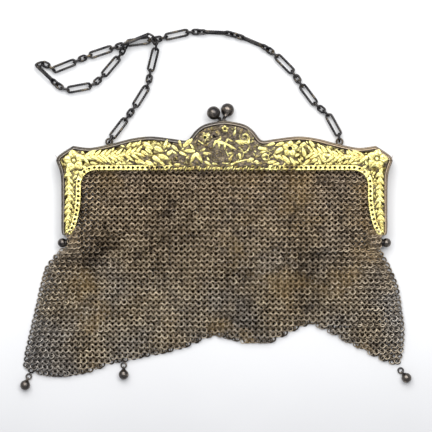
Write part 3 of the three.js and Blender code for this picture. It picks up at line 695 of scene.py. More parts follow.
def ring_metal():
    """The rings: rubbed brassy gold on dark metal, greyer towards the sides and the hem. The tone
    attribute carries painted light and shade: lighter ring tops, darker undersides, folds and back wall.
    """
    n = Nodes("ring_metal")
    across, up = n.across()
    tone = n.attribute("tone")
    tan = n.ramp(tone, [(0.0, (0.035, 0.025, 0.015)), (0.45, (0.27, 0.21, 0.14)),
                        (1.0, (0.74, 0.62, 0.44))])
    grey = n.ramp(tone, [(0.0, (0.035, 0.031, 0.030)), (0.45, (0.21, 0.19, 0.17)),
                         (1.0, (0.52, 0.48, 0.43))])
    edge = n.math("ADD", n.range(across, 0.068, 0.098, 0.0, 0.7), n.range(up, -0.06, -0.115, 0.0, 0.5))
    edge = n.math("ADD", edge, n.range(n.noise(45, 5), 0.35, 0.65, -0.35, 0.45))
    edge = n.range(edge, 0.0, 1.0, 0.0, 1.0)
    colour = n.mix(edge, tan, grey)
    colour = n.mix(n.range(up, -0.075, -0.012, 0.0, 0.35), colour, n.mix(tone, (0.03, 0.018, 0.01),
                                                                         (0.62, 0.43, 0.26)))
    brass = n.range(n.noise(38, 3), 0.56, 0.68, 0.0, 0.5)
    colour = n.mix(brass, colour, (0.42, 0.29, 0.13))
    tarnish = n.range(n.noise(130, 4), 0.55, 0.72, 0.0, 0.6)
    colour = n.mix(tarnish, colour, (0.075, 0.06, 0.055))
    n.bump(2600, 3, 0.15, 0.0002)
    return n.finish(colour, 1900, 3, 0.34, 0.55)


def dark_metal(name, low, high, glint, roughness):
    """Blackened fittings with a little of the brass showing through."""
    n = Nodes(name)
    base = n.ramp(n.noise(260, 5), [(0.3, low), (0.7, high)])
    # Random patches where the brass shows through the blackening.
    wear_and_top_light = n.range(n.noise(420, 4), 0.56, 0.7, 0.0, 0.55)
    n.bump(1300, 4, 0.18, 0.0003)
    return n.finish(n.mix(wear_and_top_light, base, glint), 700, 4, roughness * 0.75, roughness * 1.35)


def floor_surface():
    """White paper, a little greyer towards the viewer: painted falloff of the overhead light."""
    n = Nodes("floor_paper")
    _, up = n.x_and_y()
    near = n.range(up, -0.14, -0.02, 0.0, 1.0)
    near = n.math("ADD", near, n.range(n.noise(9, 3), 0.3, 0.7, -0.05, 0.05))
    colour = n.mix(n.range(near, 0.0, 1.0, 0.0, 1.0), (0.508, 0.508, 0.516), (0.80, 0.80, 0.80))
    n.bump(600, 3, 0.05, 0.0002)
    return n.finish(colour, 40, 4, 0.75, 0.9, metallic=0.0)


# The bag's form

BELOW_HINGES = (MOUTH_Y - HINGE_Y + PIN_HEAD / 2) / (BAG_LENGTH * HEM[0][1])


def drape_rows():
    rows = []
    for part, down, left, right, floor, depth, edge in DRAPE:
        if part == "legs":
            low, high = LEG_INNER, FIRST_KNUCKLE
            share = down * BELOW_HINGES
        else:
            low, high = FIRST_KNUCKLE, BAG_HALF_WIDTH
            share = BELOW_HINGES + down * (1 - BELOW_HINGES)
        rows.append((share, low + left * (high - low), low + right * (high - low),
                     floor, depth, edge))
    return np.array(rows)


DRAPE_ROWS = drape_rows()
HEM_ROWS = np.array(HEM)
HEM_ALONG = (HEM_ROWS[:, 0] + 1) / (HEM_ROWS[-1, 0] + 1)


def drape_at(down, column):
    return np.interp(down, DRAPE_ROWS[:, 0], DRAPE_ROWS[:, column])


def hem_at(along):
    return np.interp(along, HEM_ALONG, HEM_ROWS[:, 1])


def fold_sink(along, down):
    total = np.zeros_like(along)
    for middle, lean, start, end, width, sink in FOLDS:
        beside = np.exp(-(((along - middle - lean * down) / width) ** 2))
        share = (down - start) / (end - start)
        within = np.where((share > 0) & (share < 1), np.sin(math.pi * np.clip(share, 0, 1)), 0)
        total = total + sink * beside * within
    return total * ROOM


def bag_place(x, y):
    """Place across and down the bag of points seen from above."""
    down = (MOUTH_Y - y) / BAG_LENGTH
    for _ in range(8):
        left, right = drape_at(down, 1), drape_at(down, 2)
        along = (x + left) / (left + right)
        down = (MOUTH_Y - y) / (BAG_LENGTH * hem_at(along))
    return along, down


def bag_heights(x, y):
    """Heights of the back and front walls."""
    along, down = bag_place(x, y)
    sideways = np.sqrt(np.clip(1 - np.abs(2 * along - 1) ** 8, 0, 1))
    lengthways = np.sqrt(np.clip(1 - np.clip(down, 0, 1) ** 14, 0, 1))
    swell = sideways * lengthways
    back = drape_at(down, 3) * SEAT
    edge, depth = drape_at(down, 5), drape_at(down, 4)
    front = back + (edge + (depth - edge) * swell) * ROOM - fold_sink(along, down) * swell
    return back, front


def side_x(y, side):
    """The bag's left (0) or right (1) side at a height."""
    drop = hem_at(float(side))
    down = (MOUTH_Y - y) / (BAG_LENGTH * drop)
    return -drape_at(down, 1) if side == 0 else drape_at(down, 2)


def hem_y(x):
    """The lowest point of the bag at a place across it."""
    left, right = drape_at(1.0, 1), drape_at(1.0, 2)
    along = np.clip((x + left) / (left + right), 0, 1)
    return MOUTH_Y - hem_at(along) * BAG_LENGTH


def wobble(x, y, seed):
    """A slow irregular shift, for cloth that doesn't lie quite straight."""
    return (np.sin(x / 13.0 + seed) * np.cos(y / 17.0 + 2 * seed)
            + 0.6 * np.sin(x / 5.3 - y / 7.1 + 3 * seed) + 0.4 * np.cos(y / 3.9 + x / 9.1 + seed))


def ring_lattice():
    """Ring middles over the whole bag, with their row numbers. Rows and columns are straight in
    the middle, and give way near the sides and the hem so that whole rings make the edge."""
    lift = RING_RADIUS * math.cos(math.radians(RING_TILT))
    rows = []
    count = int(BAG_LENGTH / ROW_PITCH) + 1
    for j in range(count):
        y = MOUTH_Y - 0.6 - j * ROW_PITCH
        phase = 0.5 * (j % 2)
        left = side_x(y, 0) + RING_RADIUS + phase * COLUMN_PITCH
        right = side_x(y, 1) - RING_RADIUS - (0.5 - phase) * COLUMN_PITCH
        first = math.ceil(left / COLUMN_PITCH - phase - 0.5)
        last = math.floor(right / COLUMN_PITCH - phase + 0.5)
        k = np.arange(first, last + 1)
        x = (k + phase) * COLUMN_PITCH
        x = x + (left - x[0]) * np.exp(-(k - first) / 6.0) + (right - x[-1]) * np.exp(-(last - k) / 6.0)
        room = y - (hem_y(x) + lift + RING_WIRE)
        below = np.floor(room / ROW_PITCH)
        kept = room >= 0
        spare = room - below * ROW_PITCH
        yy = y - spare * np.exp(-below / 3.0)
        rows.append(np.stack([x, yy, np.full_like(x, j), k - first, last - k], 1)[kept])
    return np.concatenate(rows)


def ring_points(segments, sides, wire):
    """One ring lying flat round the origin."""
    path = flat_circle((0, 0, 0), RING_RADIUS, segments)
    round_turn = turns(sides) + math.pi / 2
    out = unit(path)[:, None] * np.cos(round_turn)[None, :, None]
    up = np.array([0, 0, 1.0])[None, None] * np.sin(round_turn)[None, :, None]
    points = path[:, None] + wire * (out + up)
    return points.reshape(-1, 3), grid_faces(segments, sides, True, True)


def woven_wall(name, is_front, segments, sides, parts, metal):
    """One wall of the bag as linked rings, in several pieces side by side."""
    lattice = ring_lattice()
    if not is_front:
        lattice[:, 0] += COLUMN_PITCH / 2 * np.clip(np.minimum(lattice[:, 3], lattice[:, 4]) / 5, 0, 1)
    x, y, row = lattice[:, 0], lattice[:, 1], lattice[:, 2]
    jitter = rng.normal(0, 1, (len(x), 6))
    calm = np.clip(np.minimum(lattice[:, 3], lattice[:, 4]) / 4, 0, 1)
    x = x + (0.35 * wobble(x, y, 1.3) * calm + 0.10 * jitter[:, 0])
    y = y + (0.30 * wobble(y, x, 2.1) * calm + 0.09 * jitter[:, 1])
    back, front = bag_heights(x, y)
    step = 0.8
    inward = RING_RADIUS * math.sin(math.radians(RING_TILT)) + RING_WIRE

    def height(px, py):
        low, high = bag_heights(px, py)
        return high - inward if is_front else low + inward

    middle = height(x, y)
    if is_front:
        middle = np.maximum(middle, back + inward * 0.9)
    else:
        middle = np.minimum(middle, np.maximum(front - inward * 2, back + inward * 0.8))
    slope_x = np.clip((height(x + step, y) - height(x - step, y)) / (2 * step), -1.1, 1.1)
    slope_y = np.clip((height(x, y + step) - height(x, y - step)) / (2 * step), -1.1, 1.1)
    points, faces = ring_points(segments, sides, RING_WIRE if is_front else BACK_WIRE)
    lean = np.where(row % 2 == 0, 1, -1) * np.radians(RING_TILT + 3.0 * jitter[:, 2])
    if not is_front:
        lean = -lean
    spin = np.radians(9.0 * jitter[:, 3])
    roll = np.radians(RING_ROLL + 5.0 * jitter[:, 4])
    p = np.repeat(points[None], len(x), 0)
    px = p[..., 0] * np.cos(spin)[:, None] - p[..., 1] * np.sin(spin)[:, None]
    py = p[..., 0] * np.sin(spin)[:, None] + p[..., 1] * np.cos(spin)[:, None]
    pz = p[..., 2] + px * np.sin(roll)[:, None]
    qy = py * np.cos(lean)[:, None] - pz * np.sin(lean)[:, None]
    qz = py * np.sin(lean)[:, None] + pz * np.cos(lean)[:, None]
    placed = np.stack([
        px + x[:, None], qy + y[:, None],
        qz + middle[:, None] + px * slope_x[:, None] + qy * slope_y[:, None],
    ], -1)
    placed[..., 2] = np.maximum(placed[..., 2], 0.02)
    # Share of the height on its ring, from 0 at the bottom to 1 at the top: painted light and shade,
    # with the rings' tops lighter and their undersides darker.
    wear_and_top_light = np.clip(0.5 + qz / (2 * inward), 0, 1)
    if is_front:
        # Painted shade lowers the tone: in the folds by their depth, as a painted shadow just below the
        # frame's edge, and in the patches beside the legs. Lighter towards the hem.
        painted_shade = 0.9 * fold_sink(*bag_place(x, y)) / ROOM + np.interp(y, [-16, -12.5], [0, 0.10])
        for shade_x, shade_y, wide, high, depth in SHADE_PATCHES:
            painted_shade += depth * np.exp(-((x - shade_x) / wide) ** 2 - ((y - shade_y) / high) ** 2)
        painted_shade -= np.interp(y, [-75, -60], [0.05, 0.0])
        tones = np.clip(0.24 + 0.44 * wear_and_top_light + 0.15 * jitter[:, 5:] - painted_shade[:, None], 0, 1)
    else:
        # Painted shade: the back wall's rings are dark all over, as in the shade between the two walls,
        # and lighter only on their undersides.
        tones = np.clip(0.06 + 0.05 * jitter[:, 5:] + 0.5 * (1 - wear_and_top_light) ** 4, 0, 1)
    cuts = np.quantile(x, np.linspace(0, 1, parts + 1))
    for n in range(parts):
        inside_part = (x >= cuts[n]) & ((x < cuts[n + 1]) | (n == parts - 1))
        chosen = placed[inside_part]
        count = len(chosen)
        quads = (faces[None] + (np.arange(count) * len(points))[:, None, None]).reshape(-1, 4)
        piece(f"{name}_{n + 1}", chosen.reshape(-1, 3), [quads], metal, "mesh_bag",
              tones[inside_part].ravel())


def hinge_rings(metal):
    """Loose rings of the mesh that ride up over the knuckles beside each hinge pin."""
    heap = Heap()
    ring, faces = ring_points(12, 6, RING_WIRE)
    for side in (-1, 1):
        for j in range(HINGE_RING_ROWS):
            y = HINGE_RINGS_TOP - ROW_PITCH * j
            widest = np.interp(y, REACH_AT, REACH_LEFT if side < 0 else REACH_RIGHT)
            for k in range(HINGE_RING_COLUMNS):
                x = HINGE_RINGS_START + COLUMN_PITCH * 0.72 * (k + 0.5 * (j % 2))
                if x > widest:
                    continue
                z = np.interp(y, LEVEL_AT, LEVELS) - 0.02 * k
                lean = (1 if j % 2 else -1) * math.radians(rng.normal(26, 7))
                flat = turned(ring, rng.normal(0, 16), 0, 0, 0)
                up = flat[:, 1] * math.sin(lean) + flat[:, 2] * math.cos(lean)
                placed = np.stack([
                    side * x + rng.normal(0, 0.2) + flat[:, 0],
                    y + rng.normal(0, 0.2) + flat[:, 1] * math.cos(lean) - flat[:, 2] * math.sin(lean),
                    z + up + flat[:, 0] * rng.normal(0, 0.2),
                ], 1)
                # Painted light and shade: the ring's top lighter and its underside darker.
                wear_and_top_light = np.clip(0.5 + up / 1.7, 0, 1)
                heap.add(placed, faces, np.clip(0.2 + 0.5 * wear_and_top_light + rng.normal(0, 0.12), 0, 1))
    heap.piece("mesh_hinge_rings", metal, "mesh_bag", "ring_mesh")


def sewing_rings(metal):
    """Rings that sew the mesh to the front plate, one leaning through each hole."""
    heap = Heap()
    turn = turns(14)
    for place, way, out in sewing_holes():
        lean = math.radians(rng.normal(28, 5))
        bold = np.interp(abs(place[0]), BOLD_SEWING, [1, 0])
        reach = (0.78 + 0.30 * bold) * (math.cos(lean) * out - math.sin(lean) * way)
        middle = place + out * (0.28 + 0.25 * bold)
        path = np.stack([
            middle[0] + reach[0] * np.cos(turn),
            middle[1] + reach[1] * np.cos(turn),
            FACE - PLATE / 2 + 0.80 * np.sin(turn),
        ], 1)
        heap.add(*tube(path, 0.19 + 0.10 * bold, 6, closed=True), tone=float(rng.uniform(0.5, 1.0)))
    heap.piece("sewing_rings", metal, "mesh_bag", "ring_mesh")


# The frame's ornament

# A leaf's outline: places along it and its width there, as shares of its length and width.
LEAF_STATIONS = np.array([0.0, 0.10, 0.28, 0.50, 0.72, 0.88, 1.0])
LEAF_WIDTHS = np.array([0.50, 0.82, 1.0, 0.95, 0.72, 0.42, 0.04])


def leaf_shape(length, width, height, bend=0.0):
    """A pointed leaf from the origin along +X with a groove down its middle: its points, faces and how
    deep each point lies, which sets the painted shade in its grooves."""
    half = width / 2 * LEAF_WIDTHS
    lifts = np.array([0.6, 0.9, 1.0, 0.95, 0.8, 0.6, 0.3])
    across = np.array([-1.0, -0.76, -0.35, 0.0, 0.35, 0.76, 1.0])
    domes = np.array([-0.2, 0.55, 1.0, 0.55, 1.0, 0.55, -0.2])
    depths = np.array([1.0, 0.0, 0.0, 0.55, 0.0, 0.0, 1.0])
    x = np.repeat(LEAF_STATIONS * length, len(across))
    y = (half[:, None] * across[None]).ravel() + bend * (x / length) ** 2 * length
    z = (height * lifts[:, None] * domes[None]).ravel()
    recess = np.tile(depths, len(LEAF_STATIONS))
    return np.stack([x, y, z], 1), grid_faces(len(LEAF_STATIONS), len(across)), recess


def pointing(degrees):
    """A direction in the plane, in degrees from +X."""
    return np.array([math.cos(math.radians(degrees)), math.sin(math.radians(degrees))])


def turned(points, degrees, x, y, z):
    c, s = pointing(degrees)
    out = points.copy()
    out[:, 0] = points[:, 0] * c - points[:, 1] * s + x
    out[:, 1] = points[:, 0] * s + points[:, 1] * c + y
    out[:, 2] = points[:, 2] + z
    return out


class Ornament:
    """Raised leaves, flowers and scrolls on the front plate."""

    def __init__(self):
        self.heap = Heap()
        self.field = np.concatenate([rim_run(1.9), inset(INNER, BAND_STRIP - 0.1)])
        self.taken = [(side * x, y, size) for side in (-1, 1) for x, y, size in GAPS]
        self.x = np.arange(-HALF_WIDTH, HALF_WIDTH, CELL)
        self.y = np.arange(LEG_END, DOME_TOP, CELL)
        self.busy = np.array([~inside(np.stack([self.x, np.full_like(self.x, y)], 1), self.field)
                              for y in self.y])
        for x, y, size in self.taken:
            self.busy |= np.hypot(self.x[None] - x, self.y[:, None] - y) < size

    def cells_under(self, x, y, heading, length, width, margin):
        """The cells of the field within a leaf's outline, as index arrays."""
        reach = length + 1
        columns = np.flatnonzero(np.abs(self.x - x) < reach)
        rows = np.flatnonzero(np.abs(self.y - y) < reach)
        dx, dy = self.x[columns][None] - x, self.y[rows][:, None] - y
        c, s = pointing(heading)
        ahead = dx * c + dy * s
        aside = dy * c - dx * s
        half = width / 2 * np.interp(ahead / length, LEAF_STATIONS, LEAF_WIDTHS) + margin
        within = (ahead > -margin) & (ahead < length + margin) & (np.abs(aside) < half)
        row, column = np.nonzero(within)
        return rows[row], columns[column]

    def leaf(self, x, y, heading, length, width, tone, height=0.45, bend=0.0, depth=1.0):
        points, faces, recess = leaf_shape(length, width, height, bend)
        self.heap.add(turned(points, heading, x, y, FACE), faces, tone, recess * depth)
        self.busy[self.cells_under(x, y, heading, length, width, 0.0)] = True

    def fill(self, low, high, sizes, tries, flow, lean, tone, spare, bottom=-EDGE_DROP,
             top=DOME_TOP):
        """Leaves of falling size in the free room between two distances from the middle line,
        leaning to both sides of the flow's direction."""
        for length in sizes:
            for _ in range(tries):
                side = rng.choice([-1, 1])
                x, y = side * rng.uniform(low, high), rng.uniform(bottom, top)
                row, column = int((y - self.y[0]) / CELL), int((x - self.x[0]) / CELL)
                if self.busy[min(row, len(self.y) - 1), min(column, len(self.x) - 1)]:
                    continue
                turn = flow + rng.choice([-1, 1]) * lean + rng.normal(0, 9)
                turn = turn if side > 0 else 180 - turn
                size = length * rng.uniform(0.85, 1.15)
                width = size * rng.uniform(0.48, 0.66)
                cells = self.cells_under(x, y, turn, size, width, 0.05)
                if self.busy[cells].mean() <= spare:
                    shade = float(np.clip(tone + rng.normal(0, 0.12), 0, 1))
                    self.leaf(x, y, turn, size, width, shade, rng.uniform(0.3, 0.5),
                              rng.uniform(-0.1, 0.1))

    def rosette(self, x, y, size, tone, start, open_middle):
        for n in range(PETALS):
            turn = start + 360 * n / PETALS
            at = (x, y) + size * 0.14 * pointing(turn)
            self.leaf(*at, turn + rng.normal(0, 6), size * rng.uniform(0.34, 0.42), size * 0.5, tone)
        if open_middle:
            self.circle(x, y, size * 0.16, 0.28, tone)
        else:
            profile = [(0.75, 0.01), (0.7, size * 0.06), (0.5, size * 0.11), (0.0, size * 0.13)]
            points, faces = lathe(profile, 10, (x, y, FACE))
            self.heap.add(points, faces, tone * 0.45)
        self.taken.append((x, y, size * 0.46))
        self.busy |= np.hypot(self.x[None] - x, self.y[:, None] - y) < size * 0.34

    def circle(self, x, y, radius, wire, tone):
        path = flat_circle((x, y, FACE + 0.12), radius, 22)
        self.heap.add(*tube(path, wire, 6, closed=True), tone=tone)

    def scroll(self, x, y, radius, start, tone):
        share = np.linspace(0, 1, 26)
        turn = math.radians(start) + share * SCROLL_TURNS * 2 * math.pi
        reach = radius * (1 - 0.85 * share)
        path = np.stack([x + reach * np.cos(turn), y + reach * np.sin(turn),
                         FACE + 0.1 + 0.15 * share], 1)
        self.heap.add(*tube(path, 0.3 * (0.5 + 0.5 * np.sin(share * math.pi)), 6), tone=tone)

    def stem(self, points, wire, tone, flat=0.7):
        path = spline([(*p, FACE) for p in points], 6)
        share = np.linspace(0, 1, len(path))
        stem, faces = tube(path, wire * (1.05 - 0.6 * share), 8)
        stem[:, 2] = FACE + (stem[:, 2] - FACE) * flat
        self.heap.add(stem, faces, tone=tone)

    def free(self, x, y):
        if not inside(np.array([[x, y]]), self.field)[0]:
            return False
        return all(math.hypot(x - a, y - b) > r for a, b, r in self.taken)

    def fern(self, points, pitch, length, width, lean, rows, tone, thick=0.30):
        """Leaflets on both sides of a stem, in rows out from it, kept inside the plate's field.
        thick is the stem's half width as a share of a leaflet's length."""
        path = spline(points, 8)
        self.stem(points, thick * length, tone, 0.22)
        places, along = spaced(path, pitch)
        for n, (place, way) in enumerate(zip(places, along)):
            heading = math.degrees(math.atan2(way[1], way[0]))
            normal = np.array([-way[1], way[0]])
            for side in (-1, 1):
                for k, offset in enumerate(rows):
                    at = place + normal * side * offset + way * (k * 0.9 + rng.normal(0, 0.12))
                    tip_turn = heading + side * (lean + 5 * rng.normal())
                    reach = length * rng.uniform(0.88, 1.12)
                    tip = at + 0.8 * reach * pointing(tip_turn)
                    if self.free(*at) and self.free(*tip):
                        shade = tone + rng.normal(0, 0.10)
                        self.leaf(*at, tip_turn, reach, width * rng.uniform(0.9, 1.1),
                                  float(np.clip(shade, 0, 1)), 0.5 - 0.08 * k, depth=0.72)


# Size of a cell of the map that keeps the leaves apart.
CELL = 0.25

# Petals of a flower and turns of a scroll.
PETALS = 5
SCROLL_TURNS = 1.4

# Flowers, leaves and scrolls of the front plate, left to right. size is a width or a length.
MOTIFS = [
    # kind, x, y, size, turn, tone
    ("rosette", -73.7, -7.3, 10.4, 100, 1.0),
    ("rosette", 74.6, -6.4, 10.0, 80, 1.0),
    ("open_rosette", 32.1, -1.3, 8.0, 90, 0.85),
    ("rosette", -24.2, -6.9, 4.6, 90, 0.30),
    ("open_rosette", -9.5, 4.1, 6.0, 45, 0.62),
    ("rosette", 0.3, 8.2, 3.6, 90, 0.85),
    ("leaf", -13.9, -3.4, 6.0, -56, 1.0),
    ("leaf", -14.3, -3.8, 5.4, -118, 1.0),
    ("leaf", -14.4, -2.6, 5.6, 178, 0.95),
    ("leaf", -14.8, -1.6, 3.4, 128, 0.85),
    ("leaf", -12.0, -2.6, 3.2, 24, 0.80),
    ("leaf", -20.0, -0.4, 6.4, 41, 1.0),
    ("leaf", -29.5, -1.5, 5.2, 72, 1.0),
    ("leaf", -25.6, 0.2, 4.6, -42, 1.0),
    ("leaf", -22.2, 2.6, 3.8, -70, 0.95),
    ("blade", -4.8, 2.3, 8.0, -14, 1.0),
    ("blade", 1.2, 0.8, 5.6, -30, 0.95),
    ("leaf", -4.4, 2.0, 3.0, -112, 0.95),
    ("leaf", -2.6, 1.8, 3.2, -88, 1.0),
    ("leaf", 0.4, 1.4, 3.4, -96, 1.0),
    ("leaf", 2.4, 0.6, 2.8, -62, 0.95),
    ("leaf", -3.6, 2.2, 2.8, 40, 0.9),
    ("leaf", 0.6, 1.4, 2.8, 62, 0.9),
    ("leaf", 4.6, 5.0, 3.2, 74, 0.95),
    ("leaf", 2.0, 3.0, 2.6, -20, 0.85),
    ("spray", 5.4, 2.6, 6.6, -32, 0.85),
    ("leaf", 11.6, 0.4, 3.6, 82, 0.70),
    ("leaf", 7.2, -3.6, 4.0, -75, 0.85),
    ("leaf", -10.4, -3.6, 4.4, -6, 0.85),
    ("leaf", -9.8, -7.8, 3.8, -24, 0.80),
    ("leaf", -6.0, -8.6, 3.0, -8, 0.75),
    ("leaf", -24.6, -9.2, 3.4, 4, 0.95),
    ("wheel", -3.1, -4.7, 3.4, 0, 0.30),
    ("scroll", 9.9, 4.4, 2.6, 150, 0.72),
    ("leaf", 16.4, -1.0, 4.8, -10, 0.72),
    ("leaf", 17.4, -3.4, 3.2, 14, 0.95),
    ("leaf", 13.4, -2.4, 3.4, 118, 0.60),
    ("scroll", 20.4, -5.2, 2.8, 30, 0.70),
    ("spray", 22.0, -2.4, 5.6, 150, 0.55),
    ("spray", 9.2, -3.6, 5.2, 40, 0.60),
    ("leaf", 24.6, 1.4, 4.6, 200, 0.70),
    ("leaf", 21.0, -8.4, 4.6, 12, 0.75),
    ("leaf", 26.0, -4.6, 4.2, -40, 0.80),
]

# Curved stems and the edges of curled leaves.
STEMS = [
    # points, wire, tone
    ([(-4.4, 7.0), (-2.0, 4.4), (-3.8, 2.2)], 0.34, 1.0),
    ([(0.8, -2.7), (2.1, -5.4), (2.2, -7.1)], 0.42, 1.0),
    ([(4.3, -4.2), (2.2, -7.1), (3.2, -9.2)], 0.40, 1.0),
    ([(3.2, -9.2), (7.6, -7.6), (11.4, -7.0), (14.6, -8.6)], 0.60, 1.0),
    ([(-1.0, -8.4), (3.6, -8.6), (7.2, -6.8)], 0.40, 0.85),
    ([(8.4, 3.8), (10.4, 6.0), (12.4, 4.0), (12.0, 0.6)], 0.34, 0.8),
    ([(7.0, -0.6), (9.2, -3.0), (8.8, -6.0)], 0.40, 0.9),
    ([(13.2, 1.6), (14.0, 4.4), (11.4, 7.6)], 0.32, 0.7),
    ([(-12.6, 5.8), (-9.6, 7.6), (-6.2, 6.4)], 0.30, 0.6),
    ([(-12.8, 2.6), (-9.6, 0.6), (-6.6, 2.0)], 0.34, 0.9),
    ([(15.6, -8.8), (20.0, -8.0), (24.4, -8.8)], 0.36, 0.7),
]

# Loose leaves round the corner rosettes, given for the right side.
CORNER_LEAVES = [
    # x, y, heading, size
    (69.5, -9.8, 215, 4.2), (70.8, -12.4, 250, 4.2), (76.8, -10.6, 275, 3.4),
    (66.4, -3.6, 160, 4.2), (65.6, -8.2, 190, 4.0),
]

# Middle line of the leaves down each leg, given for the right side, and the leaves' spacing.
LEG_STEM = [(76.2, -11.5), (76.0, -27.0), (77.0, -42.0)]
LEG_LEAVES = 3.1

# Places kept free of leaves, where the dark ground shows, given for the right side.
GAPS = [
    # x, y, radius
    (61.6, -6.0, 0.8), (57.0, -4.6, 0.9), (51.4, -4.4, 0.8), (46.2, -6.6, 0.7), (40.2, -1.4, 0.9),
    (36.4, -5.8, 0.8), (30.6, -3.2, 0.9), (27.4, -7.4, 0.8), (53.4, -1.2, 0.6), (33.8, 1.6, 0.7),
    (73.0, -20.6, 0.6), (72.6, -26.0, 0.6), (72.8, -31.4, 0.6), (66.8, -6.0, 0.7),
]


def place_motifs(art):
    for kind, x, y, size, turn, tone in MOTIFS:
        if kind in ("rosette", "open_rosette"):
            art.rosette(x, y, size, tone, turn, kind == "open_rosette")
        elif kind in ("leaf", "blade"):
            art.leaf(x, y, turn, size, size * (0.46 if kind == "leaf" else 0.27), tone, 0.5)
        elif kind == "wheel":
            for share in (0.35, 0.68, 1.0):
                art.circle(x, y, size * share, 0.24, tone)
            art.busy |= np.hypot(art.x[None] - x, art.y[:, None] - y) < size
        elif kind == "spray":
            for n in range(4):
                reach = size * (0.55 + 0.15 * n)
                art.leaf(x + 0.5 * n, y, turn - 14 + 11 * n, reach, size * 0.16, tone, 0.45, 0.12)
        elif kind == "scroll":
            art.scroll(x, y, size, turn, tone)


def frame_ornament(metal):
    art = Ornament()
    place_motifs(art)
    for points, wire, tone in STEMS:
        art.stem(points, wire, tone)
    for side in (-1, 1):
        leg = [(side * x, y) for x, y in LEG_STEM]
        art.fern(leg, LEG_LEAVES, 3.5, 1.9, 40, [0.0], 0.95, 0.17)
        art.fern(leg, LEG_LEAVES / 2, 2.2, 1.0, 30, [0.0], 0.85, 0.13)
        band = [(side * 70.0, -6.0), (side * 60.0, -5.4), (side * 50.0, -4.6), (side * 42.0, -3.4)]
        art.fern(band, 2.45, 5.0, 2.0, 44, [0.0, 3.4], 0.9)
        for x, y, heading, size in CORNER_LEAVES:
            turn = heading if side > 0 else 180 - heading
            art.leaf(side * x, y, turn, size, size * 0.44, 0.95)
    art.fill(26, 72, (4.8, 4.0, 3.3, 2.6, 2.0, 1.5), 900, 170, 42, 0.95, 0.12)
    art.fill(70, 79, (2.8, 2.2, 1.7, 1.3), 500, -80, 36, 0.95, 0.16, LEG_END, -EDGE_DROP)
    art.fill(14, 30, (4.0, 3.0, 2.2, 1.6), 250, 170, 48, 0.64, 0.02)
    art.fill(0, 17, (3.0, 2.3, 1.7, 1.3), 200, 120, 60, 0.50, 0.02)
    for place, way, _ in sewing_holes():
        if abs(place[0]) < DASHES_WITHIN and rng.random() < 0.8:
            at = place + way * HOLE_PITCH / 2 + (0, HOLE_INSET - 0.7)
            points, faces, recess = leaf_shape(rng.uniform(1.6, 2.4), 0.85, 0.42)
            turn = rng.choice([52, 60, 30, 8])
            art.heap.add(turned(points, turn, at[0] - 0.3, at[1], FACE + 0.14), faces, 1.0, recess * 0.3)
    art.heap.piece("frame_ornament", metal, "frame_front", "gilt_frame")


# The frame halves

def hole_loops():
    return [polygon(*(place + out * HOLE_INSET), HOLE_SIZE / 2, 8)
            for place, _, out in sewing_holes()]


def piercing_loops():
    """Openings in the plate: triangles between the leaves and the rim along the band, notches
    beside the leaves of the legs, and a few round ones."""
    loops = []
    places, along = spaced(inset(OUTER, 2.2), 3.1)
    for place, way in zip(places, along):
        in_band = 24 < abs(place[0]) < 70 and place[1] > -EDGE_DROP / 2
        if in_band:
            inwards = np.array([way[1], -way[0]])
            loops.append(np.array([place - way * 0.75, place + way * 0.75, place + inwards * 1.1]))
    for side in (-1, 1):
        stem = spline([(side * x, y) for x, y in LEG_STEM], 8)
        places, along = spaced(stem, LEG_LEAVES)
        for place, way in list(zip(places, along))[:-1]:
            out = side * np.array([-way[1], way[0]])
            middle = place + way * (2.2 + LEG_LEAVES / 2) + out * 1.75
            if middle[1] > LEG_END + 3:
                loops.append(np.array([middle - out * 0.55 - way * 0.35, middle + out * 0.5 - way * 1.0,
                                       middle + out * 0.4 + way * 0.55]))
    for x, y, size in [(-9.5, 4.1, 1.9), (6.7, 4.4, 1.5), (32.1, -1.3, 2.0), (-22.6, -1.8, 1.3)]:
        loops.append(polygon(x, y, size / 2))
    loops.append(np.array([(-5.6, 5.6), (-3.4, 4.4), (-5.6, 3.2)]))
    return loops


def knuckle(heap, side, order, is_front):
    near = side * (FIRST_KNUCKLE + order * (KNUCKLE_LENGTH + CLEARANCE))
    x0, x1 = sorted((near, near + side * KNUCKLE_LENGTH))
    low = PARTING + PARTING_GAP / 2 if is_front else 0.0
    high = FACE if is_front else PARTING - PARTING_GAP / 2
    radius = KNUCKLE_SIZE / 2
    profile = [(0, 0.01), (0, radius - 0.15), (0.15, radius),
               (KNUCKLE_LENGTH - 0.15, radius), (KNUCKLE_LENGTH, radius - 0.15),
               (KNUCKLE_LENGTH, 0.01)]
    heap.add(*lathe(profile, 24, (x0, HINGE_Y, PARTING), (1, 0, 0)), tone=0.3)
    top = LEG_END + HINGE_DROP * 0.8
    section = np.array([(HINGE_Y, low), (HINGE_Y + radius * 0.8, low), (top, low),
                        (top, high - 0.3), (top - 0.3, high), (HINGE_Y + radius * 0.6, high - 0.2),
                        (HINGE_Y, high - 0.8)])
    points = np.concatenate([np.insert(section, 0, x0, 1), np.insert(section, 0, x1, 1)])
    count = len(section)
    heap.add(points, grid_faces(2, count, False, True), 0.3)
    heap.add(points[:count], [list(range(count))], 0.3)
    heap.add(points[count:], [list(range(count))[::-1]], 0.3)


